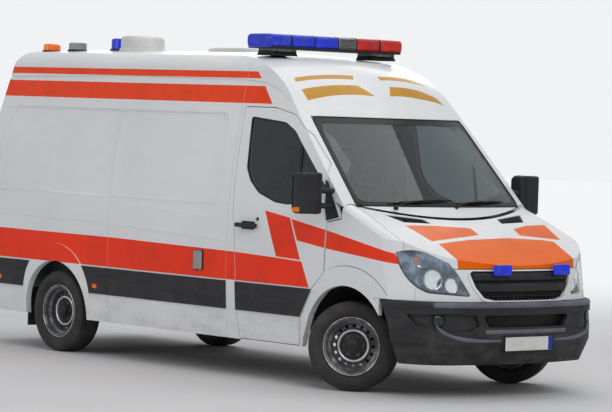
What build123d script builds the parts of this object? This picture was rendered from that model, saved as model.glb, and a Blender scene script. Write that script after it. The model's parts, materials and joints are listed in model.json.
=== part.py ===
"""Long-wheelbase, high-roof van ambulance as an assembly of its real panels, glass, running gear and lamps.

Frame: X forward, Y to the vehicle's left, Z up, origin on the ground under the middle of the vehicle.
Lengths are millimetres. Places along the vehicle are given as the distance ahead of the front arch's centre.
"""
from build123d import *
import math
import os

# Driving dimensions
LENGTH = 5910.0
NOSE_AHEAD = 1004.0
HALF_WIDTH = 996.0
ROOF_Z = 2600.0
HALF_TRACK = 855.0
TYRE_RADIUS = 345.0
TYRE_HALF_WIDTH = 117.0
RIM_RADIUS = 221.0
FRONT_ARCH_X = LENGTH / 2 - NOSE_AHEAD
FRONT_AXLE = -25.0
REAR_AXLE = -3667.0

# Walls and gaps
WALL = 45.0
NOSE_WALL = 28.0
GLASS = 6.0
GAP = 6.0
RECESS = 7.0
STRIP_PROUD = 10.0

# Heights that the side is laid out on
SILL_Z = 300.0
FLOOR_Z = 560.0
FLOOR_THICK = 40.0
COT_HOLE_RADIUS = 5.5
STRIP_Z = (531.0, 755.0)
DRIP_Z = 2150.0
BUMPER_TOP_Z = 737.0
BONNET_EDGE_Z = 985.0

# Places along the vehicle, ahead of the front arch
CAB_REAR = -1410.0
PANEL_JOINT = -2950.0
BODY_REAR = -4860.0

SLIDING_DOOR_REAR = -2720.0

# Front wheels as parked, turned to the left
STEER_REST = 33.0
KINGPIN_Y = 850.0

# Body cross-section on one side: half width and height, from the sill to the roof's shoulder
SIDE_LOW = (955.0, SILL_Z)
SIDE_MID = (HALF_WIDTH, 900.0)
SIDE_BELT = (986.0, 1342.0)
SIDE_UPPER = (940.0, 1760.0)
SIDE_DRIP = (882.0, 2120.0)
SIDE_ROOF = (823.0, 2411.0)
SIDE_SHOULDER = (794.0, 2500.0)
SIDE_TOP = (720.0, 2557.0)

# Greenhouse and dome along the centre line, as (ahead of the front arch, height)
SCREEN_FOOT = (135.0, 1410.0)
SCREEN_HEAD = (-600.0, 2202.0)
DOME_MID = (-840.0, 2405.0)
DOME_HIGH = (-1130.0, 2530.0)
DOME_BACK = (-1700.0, 2585.0)
DOME_AXIS = -2500.0
DOME_CLEAR = 14.0
SCREEN_LOW_Z = 1000.0
SCREEN_SKIRT = 500.0

# Bonnet: one long arc in side view
BONNET_RADIUS = 8570.0
BONNET_REAR_Z = 1405.0
BONNET_REAR_SINE = 0.3387
BONNET_SHOULDER = 100.0
BONNET_HALF_WIDTH = 1005.0
NOSE_REAR = -250.0

# Nose in plan at NOSE_PLAN_Z, as (ahead of the front arch, half width); it leans back as it rises
NOSE_PLAN_Z = 760.0
NOSE_LEAN = 0.165
NOSE_FRONT = (966.0, 0.0)
NOSE_BEND = (893.0, 600.0)
NOSE_CORNER = (735.0, 870.0)
NOSE_SIDE = (430.0, 1000.0)

# Front bumper in plan, as (ahead of the front arch, half width)
BUMPER_FRONT = (1004.0, 0.0)
BUMPER_BEND = (928.0, 620.0)
BUMPER_CORNER = (772.0, 902.0)
BUMPER_SIDE = (500.0, 1000.0)
BUMPER_REAR = (380.0, 1003.0)
BUMPER_LOW_Z = 262.0
BUMPER_WALL = 34.0

# Further out than the vehicle reaches in any direction, and the volume below which an offcut is dropped
BIG = 4000.0
SMALLEST_PIECE = 5000.0

# Door mirror: centre of the housing and its size
MIRROR_AT = (-245.0, -1185.0, 1500.0)
MIRROR_SIZE = (130.0, 220.0, 315.0)

# Light bar across the roof
BAR_AHEAD = -1420.0
BAR_Z = 2621.0

# Headlamp bowls on the right, as (ahead of the front arch, y, height, radius), and the housing's depth
BOWLS = ((718.0, -763.0, 895.0, 78.0), (801.0, -650.0, 856.0, 58.0))
BOWL_DEPTH = 84.0
BOWL_AXIS = (0.97, -0.243, 0.0)
LENS_WALL = 6.0
HOUSING_AT = (671.5, -713.5)

# Number plate panel on the front bumper
PLATE_HALF_WIDTH = 260.0
PLATE_Z = (367.0, 479.0)

# Blue lamps in front of the grille, as (y, width), and amber marker lamps in the rub strip
STROBES = ((-268.0, 180.0), (371.0, 171.0))
MARKERS = (-4483.0, -3120.0)


def ahead(distance):
    """X of a place that lies this far ahead of the front arch's centre."""
    return FRONT_ARCH_X + distance


def outline(points):
    """Closed face through corner points."""
    return make_face(Polyline(*points, close=True))


def side_prism(face, y_from, y_to):
    """A face drawn in side view (x, z), made solid between two y planes."""
    return extrude(Plane.XZ.offset(-y_from) * face, -(y_to - y_from))


def side_block(points, y_from, y_to):
    """Side-view outline given as (ahead of the front arch, height), made solid between two y planes."""
    return side_prism(outline([(ahead(x), z) for x, z in points]), y_from, y_to)


def end_block(points, x_from, x_to):
    """End-view outline (y, z), made solid between two places along the vehicle."""
    return extrude(Plane.YZ.offset(ahead(x_from)) * outline(points), x_to - x_from)


def plan_block(points, z_from, z_to):
    """Plan outline (ahead of the front arch, y), made solid between two heights."""
    return extrude(Plane.XY.offset(z_from) * outline([(ahead(x), y) for x, y in points]), z_to - z_from)


def box_between(x, y, z):
    """A box from three (low, high) pairs; x is given ahead of the front arch."""
    size = Box(x[1] - x[0], y[1] - y[0], z[1] - z[0])
    return Pos(ahead((x[0] + x[1]) / 2), (y[0] + y[1]) / 2, (z[0] + z[1]) / 2) * size


def rod(start, end, radius):
    """A round bar between two points (ahead of the front arch, y, z)."""
    a = Vector(ahead(start[0]), start[1], start[2])
    b = Vector(ahead(end[0]), end[1], end[2])
    return extrude(Plane(origin=a, z_dir=b - a) * Circle(radius), (b - a).length)


def mirrored(solid):
    """The same piece on the other side of the vehicle."""
    return mirror(solid, about=Plane.XZ)


def on_side(solid, side):
    """Right-hand piece as drawn for side -1, mirrored for side +1."""
    return solid if side < 0 else mirrored(solid)


def pair(solid):
    """Right and left pieces in one node."""
    return Compound(children=[*solid.solids(), *mirrored(solid).solids()])


def grouped(*pieces):
    """Several separate solids in one node."""
    return Compound(children=[solid for piece in pieces for solid in piece.solids()])


def section_prism(inset):
    """Whole length of the body's cross-section, drawn in by inset and open below."""
    def drawn_in(point, drop):
        return (point[0] - inset, point[1] - drop)

    low, mid, belt = drawn_in(SIDE_LOW, 0), drawn_in(SIDE_MID, 0), drawn_in(SIDE_BELT, 0)
    upper, drip = drawn_in(SIDE_UPPER, 0), drawn_in(SIDE_DRIP, 0)
    roof = drawn_in(SIDE_ROOF, 0.3 * inset)
    shoulder = drawn_in(SIDE_SHOULDER, 0.7 * inset)
    top = (SIDE_TOP[0] - 0.6 * inset, SIDE_TOP[1] - inset)
    base = (low[0], SILL_Z - 60.0)

    def across(point):
        return (-point[0], point[1])

    half = [Line(base, low), ThreePointArc(low, mid, belt), ThreePointArc(belt, upper, drip),
            Line(drip, roof), ThreePointArc(roof, shoulder, top)]
    other = [Line(across(base), across(low)), ThreePointArc(*map(across, (low, mid, belt))),
             ThreePointArc(*map(across, (belt, upper, drip))), Line(across(drip), across(roof)),
             ThreePointArc(*map(across, (roof, shoulder, top)))]
    crown = ThreePointArc(top, (0.0, ROOF_Z - inset), across(top))
    face = make_face(half + [crown] + other + [Line(across(base), base)])
    return extrude(Plane.YZ.offset(-BIG) * face, 2 * BIG)


def greenhouse(inset):
    """Windscreen slope, dome and roof: one profile turned about an upright axis, so it is bowed in plan."""
    def at(point):
        return (ahead(point[0]) - 0.8 * inset, point[1] - inset)

    slope = (SCREEN_HEAD[1] - SCREEN_FOOT[1]) / (SCREEN_FOOT[0] - SCREEN_HEAD[0])
    foot = at((SCREEN_FOOT[0] + 200.0, SCREEN_FOOT[1] - 200.0 * slope))
    axis_x = ahead(DOME_AXIS)
    skirt = (ahead(SCREEN_SKIRT), SCREEN_LOW_Z)
    head, high = at(SCREEN_HEAD), at(DOME_HIGH)
    crown = (axis_x, ROOF_Z + DOME_CLEAR - inset)
    face = make_face([
        Line((axis_x, SCREEN_LOW_Z), skirt),
        Line(skirt, foot),
        Line(foot, head),
        ThreePointArc(head, at(DOME_MID), high),
        ThreePointArc(high, at(DOME_BACK), crown),
        Line(crown, (axis_x, SCREEN_LOW_Z)),
    ])
    dome = revolve(Plane.XZ * face, Axis((axis_x, 0, 0), (0, 0, 1)), 360)
    section = section_prism(inset)
    front = dome & box_between((DOME_AXIS, 1500), (-1200, 1200), (SCREEN_LOW_Z, 2800)) & section
    rear = box_between((-5500, DOME_AXIS), (-1200, 1200), (200, 2800)) & section & rear_prism(inset)
    lower = box_between((DOME_AXIS, NOSE_REAR + 10), (-1200, 1200), (200, SCREEN_LOW_Z)) & section
    return front + rear + lower


def bonnet_form(inset):
    """Nose block under the bonnet's long arc, with rounded fender tops."""
    rear_z = BONNET_REAR_Z - inset
    centre_x = ahead(0) - BONNET_RADIUS * BONNET_REAR_SINE
    centre_z = rear_z - BONNET_RADIUS * math.cos(math.asin(BONNET_REAR_SINE))
    depth = 2400.0
    profile = Rectangle(2 * (BONNET_HALF_WIDTH - inset), depth)
    profile = fillet(profile.vertices().sort_by(Axis.Y)[-2:], BONNET_SHOULDER)
    origin = (centre_x, 0, centre_z + BONNET_RADIUS - depth / 2)
    face = Plane(origin=origin, x_dir=(0, 1, 0), z_dir=(1, 0, 0)) * profile
    return revolve(face, Axis((centre_x, 0, centre_z), (0, 1, 0)), 33) & box_between(
        (NOSE_REAR, 1500), (-1200, 1200), (200, 1600))


def nose_plan(inset):
    """Plan outline of the nose with its rear left open to the whole body."""
    front = (ahead(NOSE_FRONT[0] - inset), 0.0)
    bend = (ahead(NOSE_BEND[0] - inset), NOSE_BEND[1])
    corner = (ahead(NOSE_CORNER[0] - 0.8 * inset), NOSE_CORNER[1] - 0.8 * inset)
    side = (ahead(NOSE_SIDE[0]), NOSE_SIDE[1] - inset)
    rear = (ahead(-5400.0), 1200.0)

    def across(point):
        return (point[0], -point[1])

    return make_face([
        ThreePointArc(across(bend), front, bend),
        ThreePointArc(bend, corner, side),
        Line(side, (side[0], 1200.0)),
        Line((side[0], 1200.0), rear),
        Line(rear, across(rear)),
        Line(across(rear), (side[0], -1200.0)),
        Line((side[0], -1200.0), across(side)),
        ThreePointArc(across(side), across(corner), across(bend)),
    ])


def nose_prism(inset):
    """The nose's plan, leaning back as it rises."""
    lift = 2900.0
    drop = 560.0
    start = Pos(NOSE_LEAN * drop, 0, NOSE_PLAN_Z - drop) * nose_plan(inset)
    return extrude(start, amount=lift * math.hypot(1, NOSE_LEAN), dir=Vector(-NOSE_LEAN, 0, 1))


def rear_prism(inset):
    """Side view of the tail: doors that lean forward and a rounded roof end."""
    def at(x, z):
        return (ahead(x) + inset, z - inset)

    top = (ahead(-4250.0), ROOF_Z + 200.0)
    face = make_face([
        Line((ahead(2000.0), 100.0), (ahead(BODY_REAR) + inset, 100.0)),
        Line((ahead(BODY_REAR) + inset, 100.0), (ahead(BODY_REAR) + inset, 620.0)),
        Line((ahead(BODY_REAR) + inset, 620.0), at(-4845.0, 900.0)),
        Line(at(-4845.0, 900.0), at(-4800.0, 1350.0)),
        Line(at(-4800.0, 1350.0), at(-4648.0, 2168.0)),
        Line(at(-4648.0, 2168.0), at(-4600.0, 2410.0)),
        ThreePointArc(at(-4600.0, 2410.0), at(-4550.0, 2510.0), at(-4430.0, 2570.0)),
        Line(at(-4430.0, 2570.0), at(-4100.0, 2606.0)),
        Line(at(-4100.0, 2606.0), (ahead(-4100.0) + inset, ROOF_Z + 300.0)),
        Line((ahead(-4100.0) + inset, ROOF_Z + 300.0), (ahead(2000.0), ROOF_Z + 300.0)),
        Line((ahead(2000.0), ROOF_Z + 300.0), (ahead(2000.0), 100.0)),
    ])
    return side_prism(face, -1200.0, 1200.0)


def body_form(inset, nose_inset):
    """The closed outer form of the whole body, drawn in by inset, or by nose_inset under the bonnet."""
    upper = greenhouse(inset)
    nose = bonnet_form(nose_inset) & section_prism(nose_inset) & nose_prism(nose_inset)
    return upper + nose



# Side-view outlines, as (ahead of the front arch, height)
FRONT_DOOR = [
    (-545, 310), (-1250, 310), (-1286, 540), (-1290, 800), (-1310, 1100), (-1340, 1240), (-1362, 1500),
    (-1362, 2140), (-1000, 2140), (-752, 2090), (-545, 1935), (-330, 1720), (-262, 1605), (-80, 1316),
    (-232, 1282), (-243, 1172), (-250, 892), (-385, 760), (-529, 525),
]
DOOR_WINDOW = [
    (-1268, 2066), (-850, 2030), (-722, 1965), (-268, 1534), (-330, 1488), (-560, 1416), (-700, 1392),
    (-860, 1404), (-1066, 1470), (-1180, 1560), (-1240, 1660),
]
BONNET_VENT = [(128, -745), (212, -400), (292, -380), (268, -650)]
FOG_RECESS = [(-968, 640), (-700, 652), (-520, 640), (-486, 560), (-560, 520), (-700, 512), (-850, 530), (-940, 572)]
ROOF_GROOVE = [(-4760, 2326), (-2950, 2356), (-1420, 2346), (-1160, 2326), (-985, 2268), (-860, 2190),
               (-852, 2203), (-980, 2282), (-1156, 2340), (-1416, 2360), (-2950, 2370), (-4760, 2340)]
MIRROR_CORNER = [(-290, 1600), (-262, 1590), (-98, 1324), (-232, 1292), (-262, 1400), (-268, 1520)]
RIGHT_RECESS_REAR = [(-4444, 2080), (-2975, 2080), (-2975, 1372), (-4480, 1340)]
RIGHT_RECESS_FRONT = [(-2925, 2085), (-1600, 2085), (-1560, 2050), (-1650, 1290), (-1690, 1258), (-2925, 1330)]
ROOF_LINE = [(-5200, DRIP_Z), (-1000, DRIP_Z), (-756, 2100), (-600, 2096), (400, 2096), (400, 2900), (-5200, 2900)]

# End-view outlines on the left, as (y, height)
REAR_DOOR = [(5, 575), (905, 575), (905, 1400), (775, 2330), (735, 2400), (5, 2400)]
REAR_WINDOW = [(110, 1440), (800, 1440), (722, 2060), (110, 2060)]
WINDSCREEN_HEAD = (812.0, 2088.0)
WINDSCREEN_FOOT = (886.0, 1412.0)
GRILLE_MOUTH = [(-548, 968), (-500, 850), (-430, 768), (-330, 748), (330, 748), (430, 768), (500, 850), (548, 968)]

# Bonnet edge in plan on the right, as (ahead of the front arch, y)
BONNET_EDGE = [(-12, -882), (227, -915), (415, -931), (576, -934), (668, -877), (776, -763), (838, -658), (1150, -630)]

# Arches
FRONT_ARCH = (10.0, 352.0, 455.0)
FRONT_FLARE = (30.0, 355.0, 602.0)
REAR_ARCH = (-3675.0, 345.0, 430.0)
REAR_FLARE = (-3667.0, 454.0, 472.0)


def disc(circle, y_from, y_to):
    """Round side-view cutter from (ahead, height, radius)."""
    face = Pos(ahead(circle[0]), circle[1]) * Circle(circle[2])
    return side_prism(Sketch() + face, y_from, y_to)


def front_arch_cut():
    """Opening of the right front arch, wider behind and below, with the bumper closing it in front."""
    low = side_block([(-398, 570), (-512, 290), (-512, 200), (470, 200), (470, 480), (300, 570)], -1100, -500)
    return disc(FRONT_ARCH, -1100, -500) + low


def rear_arch_cut():
    """Opening of the right rear arch down to below the sill."""
    x, z, r = REAR_ARCH
    return disc(REAR_ARCH, -1100, -640) + side_block([(x - r, z), (x - r, 200), (x + r, 200), (x + r, z)], -1100, -640)


def headlamp_cut(grow):
    """Right headlamp's outline, drawn square to a line 45 degrees off the nose, made into a prism."""
    face = make_face([
        ThreePointArc((-310, 1092), (-190, 1112), (-60, 1085)),
        Line((-60, 1085), (83, 1024)),
        Line((83, 1024), (150, 948)),
        Line((150, 948), (250, 792)),
        Line((250, 792), (238, 779)),
        Line((238, 779), (92, 790)),
        Line((92, 790), (-60, 800)),
        ThreePointArc((-60, 800), (-215, 896), (-310, 1092)),
    ])
    if grow:
        face = offset(face, grow)
    plane = Plane(origin=(ahead(0), 0, 0), x_dir=(1, 1, 0), z_dir=(1, -1, 0))
    prism = extrude(plane * face, 1600, dir=(1, -1, 0))
    return prism & box_between((300, 1200), (-1100, -300), (700, 1200))


def bonnet_region(gap):
    """Everything inside the bonnet's edge in plan and above its front edge."""
    right = [(x, y + gap) for x, y in BONNET_EDGE]
    left = [(x, -y) for x, y in reversed(right)]
    return plan_block(right + left, BONNET_EDGE_Z + gap, 1600)


def door_region(gap):
    """Right front door's outline, drawn in by gap."""
    face = outline([(ahead(x), z) for x, z in FRONT_DOOR])
    if gap:
        face = offset(face, -gap)
    return side_prism(face, -1150, -600)


def rounded(points, radius):
    """Closed face through corner points with every corner rounded."""
    face = outline(points)
    return fillet(face.vertices(), radius)


def side_points(points):
    return [(ahead(x), z) for x, z in points]


class Forms:
    """The body's form at each depth that its pieces are cut from."""

    def __init__(self):
        self.skin = body_form(0.0, 0.0)
        self.inner = body_form(WALL, NOSE_WALL)
        self.proud = body_form(-STRIP_PROUD, -STRIP_PROUD)
        self.pressed = body_form(RECESS, RECESS)
        self.glass_back = body_form(RECESS + GLASS, RECESS + GLASS)
        self.shell = self.skin - self.inner
        self.trim_layer = self.proud - self.skin
        self.press_layer = self.skin - self.pressed
        self.glass_layer = self.pressed - self.glass_back


def main():
    os.makedirs("parts", exist_ok=True)
    forms = Forms()
    nodes = {}
    build_body(forms, nodes)
    build_doors(forms, nodes)
    build_front(forms, nodes)
    build_roof_items(forms, nodes)
    build_inside(nodes)
    build_running_gear(nodes)
    for name, piece in nodes.items():
        export_step(piece, f"parts/{name}.step")


def build_body(forms, nodes):
    """Roof, sides, cab frame, tail frame, strips and lamps fixed to the body."""
    roof_cut = side_block(ROOF_LINE, -1100, 1100)
    groove = forms.press_layer & side_block(ROOF_GROOVE, -1100, 1100)
    roof = (forms.shell & roof_cut) - groove
    rear_roof = roof & box_between((-5200, CAB_REAR - 1.5), (-1100, 1100), (2000, 2900))
    nodes["roof_dome"] = roof & box_between((CAB_REAR + 1.5, 400), (-1100, 1100), (2000, 2900))

    arches = rear_arch_cut()
    flare = (disc(REAR_FLARE, -1100, -640) + disc((REAR_ARCH[0], REAR_ARCH[1], REAR_ARCH[2] + 38), -1100, -640))
    flare = (forms.trim_layer & flare & box_between((-4400, -3000), (-1100, -700), (SILL_Z, 1100))) - arches
    doorway = end_block([(-905 - GAP, 569), (905 + GAP, 569), (905 + GAP, 1400), (775 + GAP, 2332), (735 + GAP, 2412),
                         (-735 - GAP, 2412), (-775 - GAP, 2332), (-905 - GAP, 1400)], -5200, -4300)
    wall = (forms.shell & box_between((-5200, CAB_REAR - 1.5), (-1100, 0), (SILL_Z, 2900))) - roof_cut - arches
    wall = wall - doorway
    nodes["roof_panel"] = rear_roof - doorway
    side = wall & box_between((-4700, CAB_REAR - 1.5), (-1100, -400), (SILL_Z, 2900))
    recess = side_prism(rounded(side_points(RIGHT_RECESS_REAR), 34), -1100, -600)
    recess = recess + side_prism(rounded(side_points(RIGHT_RECESS_FRONT), 14), -1100, -600)
    pressed = side - (forms.press_layer & recess)
    pressed = pressed + flare
    nodes["side_panel_right_front"] = pressed & box_between((PANEL_JOINT + 1.5, 0), (-1100, 0), (0, 2900))
    nodes["side_panel_right_rear"] = pressed & box_between((-5200, PANEL_JOINT - 1.5), (-1100, 0), (0, 2900))
    left = mirrored(pressed)
    nodes["side_door_left"] = left & box_between((SLIDING_DOOR_REAR + 3, CAB_REAR), (0, 1100), (0, 2900))
    nodes["side_panel_left"] = left & box_between((-5200, SLIDING_DOOR_REAR - 3), (0, 1100), (0, 2900))
    tail = (forms.shell & box_between((-5200, -4701), (-1100, 1100), (SILL_Z, 2900))) - roof_cut - doorway
    nodes["rear_frame"] = tail - box_between((-5200, -4785), (-980, 980), (200, 572))

    # what is left of the shell between the doors, the windscreen and the fenders
    cab = forms.shell & box_between((CAB_REAR + 1.5, 350), (-1100, 1100), (SILL_Z, 2900))
    door_hole = side_prism(offset(outline(side_points(FRONT_DOOR)), GAP), -1150, -600)
    screen = end_block([(-WINDSCREEN_FOOT[0], WINDSCREEN_FOOT[1]), WINDSCREEN_FOOT, WINDSCREEN_HEAD,
                        (-WINDSCREEN_HEAD[0], WINDSCREEN_HEAD[1])], -900, 400)
    fender_zone = side_block([(-240, 1000), (-240, 888), (-376, 756), (-520, 525), (-537, 250),
                              (1200, 250), (1200, 1000)], -1150, 1150)
    frame = cab - roof_cut - door_hole - mirrored(door_hole) - screen - fender_zone - bonnet_form(-GAP)
    cowl_line = ahead(-20)
    nodes["cab_frame"] = grouped(*[solid for solid in frame.solids() if solid.bounding_box().min.X < cowl_line])
    nodes["cowl"] = grouped(*[solid for solid in frame.solids() if solid.bounding_box().min.X > cowl_line])
    nodes["windscreen"] = (forms.press_layer & screen) - roof_cut
    strip_zone = box_between((-4785, CAB_REAR), (-1100, -600), STRIP_Z)
    strip = (forms.trim_layer & strip_zone) - rear_arch_cut() - flare
    gaps = box_between((PANEL_JOINT - 1.5, PANEL_JOINT + 1.5), (-1100, -600), STRIP_Z)
    strip = pair(strip - gaps - marker_zones())
    socket = forms.trim_layer & side_prism(rounded(side_points(
        [(-1811, 818), (-1694, 818), (-1694, 978), (-1811, 978)]), 14), -1100, -600)
    rail = mirrored(forms.trim_layer & box_between((-4560, SLIDING_DOOR_REAR - 10), (-1100, -600), (1128, 1162)))
    grip = Pos(ahead(-1560), HALF_WIDTH + 33, 1208) * Box(235, 20, 34)
    grip = fillet(grip.edges().filter_by(Axis.Y), 14)
    posts = [Pos(ahead(x), HALF_WIDTH + 10, 1208) * Box(36, 50, 30) for x in (-1645, -1475)]
    handle = grip + posts[0] + posts[1] - forms.skin
    nodes["rub_strips"] = grouped(*strip.solids(), socket, rail, handle)




def build_doors(forms, nodes):
    """Front doors and rear doors, each with its glass and fittings."""
    door = forms.shell & door_region(0)
    window = side_prism(rounded(side_points(DOOR_WINDOW), 22), -1150, -600)
    panel = door - window
    glass = forms.glass_layer & window
    corner = forms.trim_layer & side_block(MIRROR_CORNER, -1150, -600)
    trim = door_trim(forms, corner)
    for side, name in ((-1, "right"), (1, "left")):
        nodes[f"front_door_{name}"] = on_side(panel, side)
        nodes[f"front_door_{name}_glass"] = on_side(glass, side)
        nodes[f"front_door_{name}_fittings"] = on_side(trim, side)

    half = forms.shell & end_block(REAR_DOOR, -5200, -4300)
    pane = extrude(Plane.YZ.offset(ahead(-5200)) * rounded(REAR_WINDOW, 45), 1000)
    panel = half - pane
    glass = forms.glass_layer & pane & box_between((-5200, -4400), (0, 1000), (1000, 2400))
    for side, name in ((-1, "right"), (1, "left")):
        nodes[f"rear_door_{name}"] = on_side(panel, -side)
        nodes[f"rear_door_{name}_glass"] = on_side(glass, -side)


def door_trim(forms, corner):
    """Mirror on its black corner, rub strip and handle of the right front door."""
    housing = Pos(ahead(MIRROR_AT[0]), MIRROR_AT[1], MIRROR_AT[2]) * Box(*MIRROR_SIZE)
    housing = fillet(housing.edges().filter_by(Axis.Z), 40)
    housing = fillet(housing.edges().group_by(Axis.Z)[-1] + housing.edges().group_by(Axis.Z)[0], 22)
    arms = [rod((-190, -930, z), (-235, MIRROR_AT[1] + 60, z), 22) for z in (MIRROR_AT[2] - 95, MIRROR_AT[2] + 20)]
    arms = [arm - forms.skin for arm in arms]
    strip_zone = box_between((-1362, -300), (-1100, -600), STRIP_Z)
    strip = forms.trim_layer & strip_zone & door_region(0)
    grip = Pos(ahead(-1155), -HALF_WIDTH - 33, 1208) * Box(235, 20, 34)
    grip = fillet(grip.edges().filter_by(Axis.Y), 14)
    posts = [Pos(ahead(x), -HALF_WIDTH - 10, 1208) * Box(36, 50, 30) for x in (-1240, -1070)]
    handle = grip + posts[0] + posts[1] - forms.skin
    mirror_piece = corner + housing
    for arm in arms:
        mirror_piece = mirror_piece + arm
    return grouped(mirror_piece, strip, handle)


def build_front(forms, nodes):
    """Fenders, bonnet, front panel, grille, headlamps and bumper."""
    left_lamp = mirrored(headlamp_cut(2.0))
    left_front = (forms.shell & box_between((-560, 1300), (0, 1100), (SILL_Z, 1450))) - left_lamp
    front = left_front + mirrored(left_front)
    arches = front_arch_cut()
    behind = side_block([(-66, 1450), (-66, 1310), (-226, 1275), (-226, 1172), (-234, 884), (-370, 752), (-514, 525), (-531, 250),
                         (1200, 250), (1200, 1450)], -1150, 1150)
    bumper_zone = box_between((385, 1300), (-1100, 1100), (200, BUMPER_TOP_Z + 3)) + side_block(
        [(300, 200), (420, 480), (392, BUMPER_TOP_Z + 3), (700, BUMPER_TOP_Z + 3), (700, 200)], -1100, 1100)
    nose = (front & behind) - bumper_zone
    lid = bonnet_region(0)
    lid_gap = bonnet_region(-GAP)
    screen_clear = greenhouse(-8.0)
    above_nose = box_between((NOSE_REAR, 1300), (-1100, 1100), (SCREEN_LOW_Z, 1500)) - bonnet_form(0.0)
    screen_gap = end_block([(-894, 1404), (894, 1404), (820, 2096), (-820, 2096)], -900, 400)
    body_front = nose - lid_gap - above_nose - screen_gap
    fenders = (body_front & box_between((-560, 683), (-1100, 1100), (200, 1500))) - arches - mirrored(arches)
    flare = disc(FRONT_FLARE, -1100, -700) & box_between((-900, 900), (-1100, -700), (BUMPER_TOP_Z + 3, 1100))
    flare = flare + disc((FRONT_ARCH[0], FRONT_ARCH[1], FRONT_ARCH[2] + 42), -1100, -700)
    flare = (forms.trim_layer & flare & behind) - arches - bumper_zone
    flare = flare & box_between((-560, 683), (-1100, 0), (SILL_Z, 1100))
    nodes["front_fenders"] = fenders + flare + mirrored(flare)
    panel = body_front & box_between((687, 1300), (-1100, 1100), (BUMPER_TOP_Z, 1500))
    mouth = extrude(Plane.YZ.offset(ahead(500)) * rounded(GRILLE_MOUTH, 24), 700)
    wide_mouth = extrude(Plane.YZ.offset(ahead(500)) * offset(rounded(GRILLE_MOUTH, 24), 22), 700)
    lip = (forms.trim_layer & (wide_mouth - mouth)) & box_between((600, 1300), (-700, 700), (BUMPER_TOP_Z + 3, 968))
    panel = panel - mouth
    panel = grouped(*[solid for solid in panel.solids() if solid.volume > SMALLEST_PIECE])
    nodes["front_panel"] = panel + lip
    vent = forms.press_layer & plan_block(BONNET_VENT, 1200, 1500)
    nodes["bonnet"] = (front & lid) - screen_clear - above_nose - vent - mirrored(vent)
    nodes["headlamps"] = pair((forms.skin - body_form(LENS_WALL, LENS_WALL)) & headlamp_cut(0))
    nodes["headlamp_bowls"] = pair(headlamp_housing())
    nodes["grille"] = grille(mouth)
    nodes["front_bumper"] = front_bumper()
    nodes["number_plate"] = number_plate()


def headlamp_housing():
    """Back wall of the right headlamp with its two bowls facing forward."""
    back = Pos(ahead(HOUSING_AT[0]), HOUSING_AT[1], 950) * (Rot(0, 0, -45) * Box(10, 700, 500))
    piece = back & headlamp_cut(-3.0)
    for x, y, z, radius in BOWLS:
        face = make_face(Polyline((0, 0), (radius * 0.34, 0), (radius * 0.78, 34), (radius, BOWL_DEPTH),
                                  (radius - 4, BOWL_DEPTH), (radius * 0.78 - 4, 38), (radius * 0.34 - 2, 5), (0, 5),
                                  close=True))
        bowl = revolve(Plane.XZ * face, Axis.Z)
        base = (ahead(x) - BOWL_DEPTH * BOWL_AXIS[0], y - BOWL_DEPTH * BOWL_AXIS[1], z)
        piece = piece + Plane(origin=base, z_dir=BOWL_AXIS) * bowl
    return piece


def grille(mouth):
    """Frame, bars and mesh ribs that fill the mouth of the front panel."""
    def sheet(front_drop, thick):
        plan = offset_plan(front_drop)
        back = offset_plan(front_drop + thick)
        return plan - back

    piece = sheet(40.0, 12.0) & mouth
    for z, tall in ((928.0, 60.0), (846.0, 66.0)):
        bar = sheet(6.0, 44.0) & mouth & box_between((600, 1200), (-700, 700), (z - tall / 2, z + tall / 2))
        piece = piece + bar
    mesh = sheet(22.0, 20.0) & mouth
    for n in range(-13, 14):
        y = n * 40.0
        piece = piece + (mesh & box_between((600, 1200), (y - 2.5, y + 2.5), (700, 1000)))
    for z in (780.0, 798.0, 887.0):
        piece = piece + (mesh & box_between((600, 1200), (-700, 700), (z - 2.5, z + 2.5)))
    for y in (STROBES[0][0], STROBES[1][0]):
        piece = piece + box_between((880, 950), (y - 60, y + 60), (936, 952))
    return piece


def offset_plan(inset):
    """Upright-leaning plan of the nose, drawn back by inset."""
    return nose_prism(inset) & box_between((400, 1200), (-1000, 1000), (700, 1100))


def bumper_plan(inset):
    """Plan outline of the front bumper, closed straight across behind."""
    front = (ahead(BUMPER_FRONT[0] - inset), 0.0)
    bend = (ahead(BUMPER_BEND[0] - inset), BUMPER_BEND[1])
    corner = (ahead(BUMPER_CORNER[0] - 0.8 * inset), BUMPER_CORNER[1] - 0.8 * inset)
    side = (ahead(BUMPER_SIDE[0]), BUMPER_SIDE[1] - inset)
    rear = (ahead(BUMPER_REAR[0]), BUMPER_REAR[1] - inset)

    def across(point):
        return (point[0], -point[1])

    return make_face([
        ThreePointArc(across(bend), front, bend),
        ThreePointArc(bend, corner, side),
        Line(side, rear),
        Line(rear, across(rear)),
        Line(across(rear), across(side)),
        ThreePointArc(across(side), across(corner), across(bend)),
    ])


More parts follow.
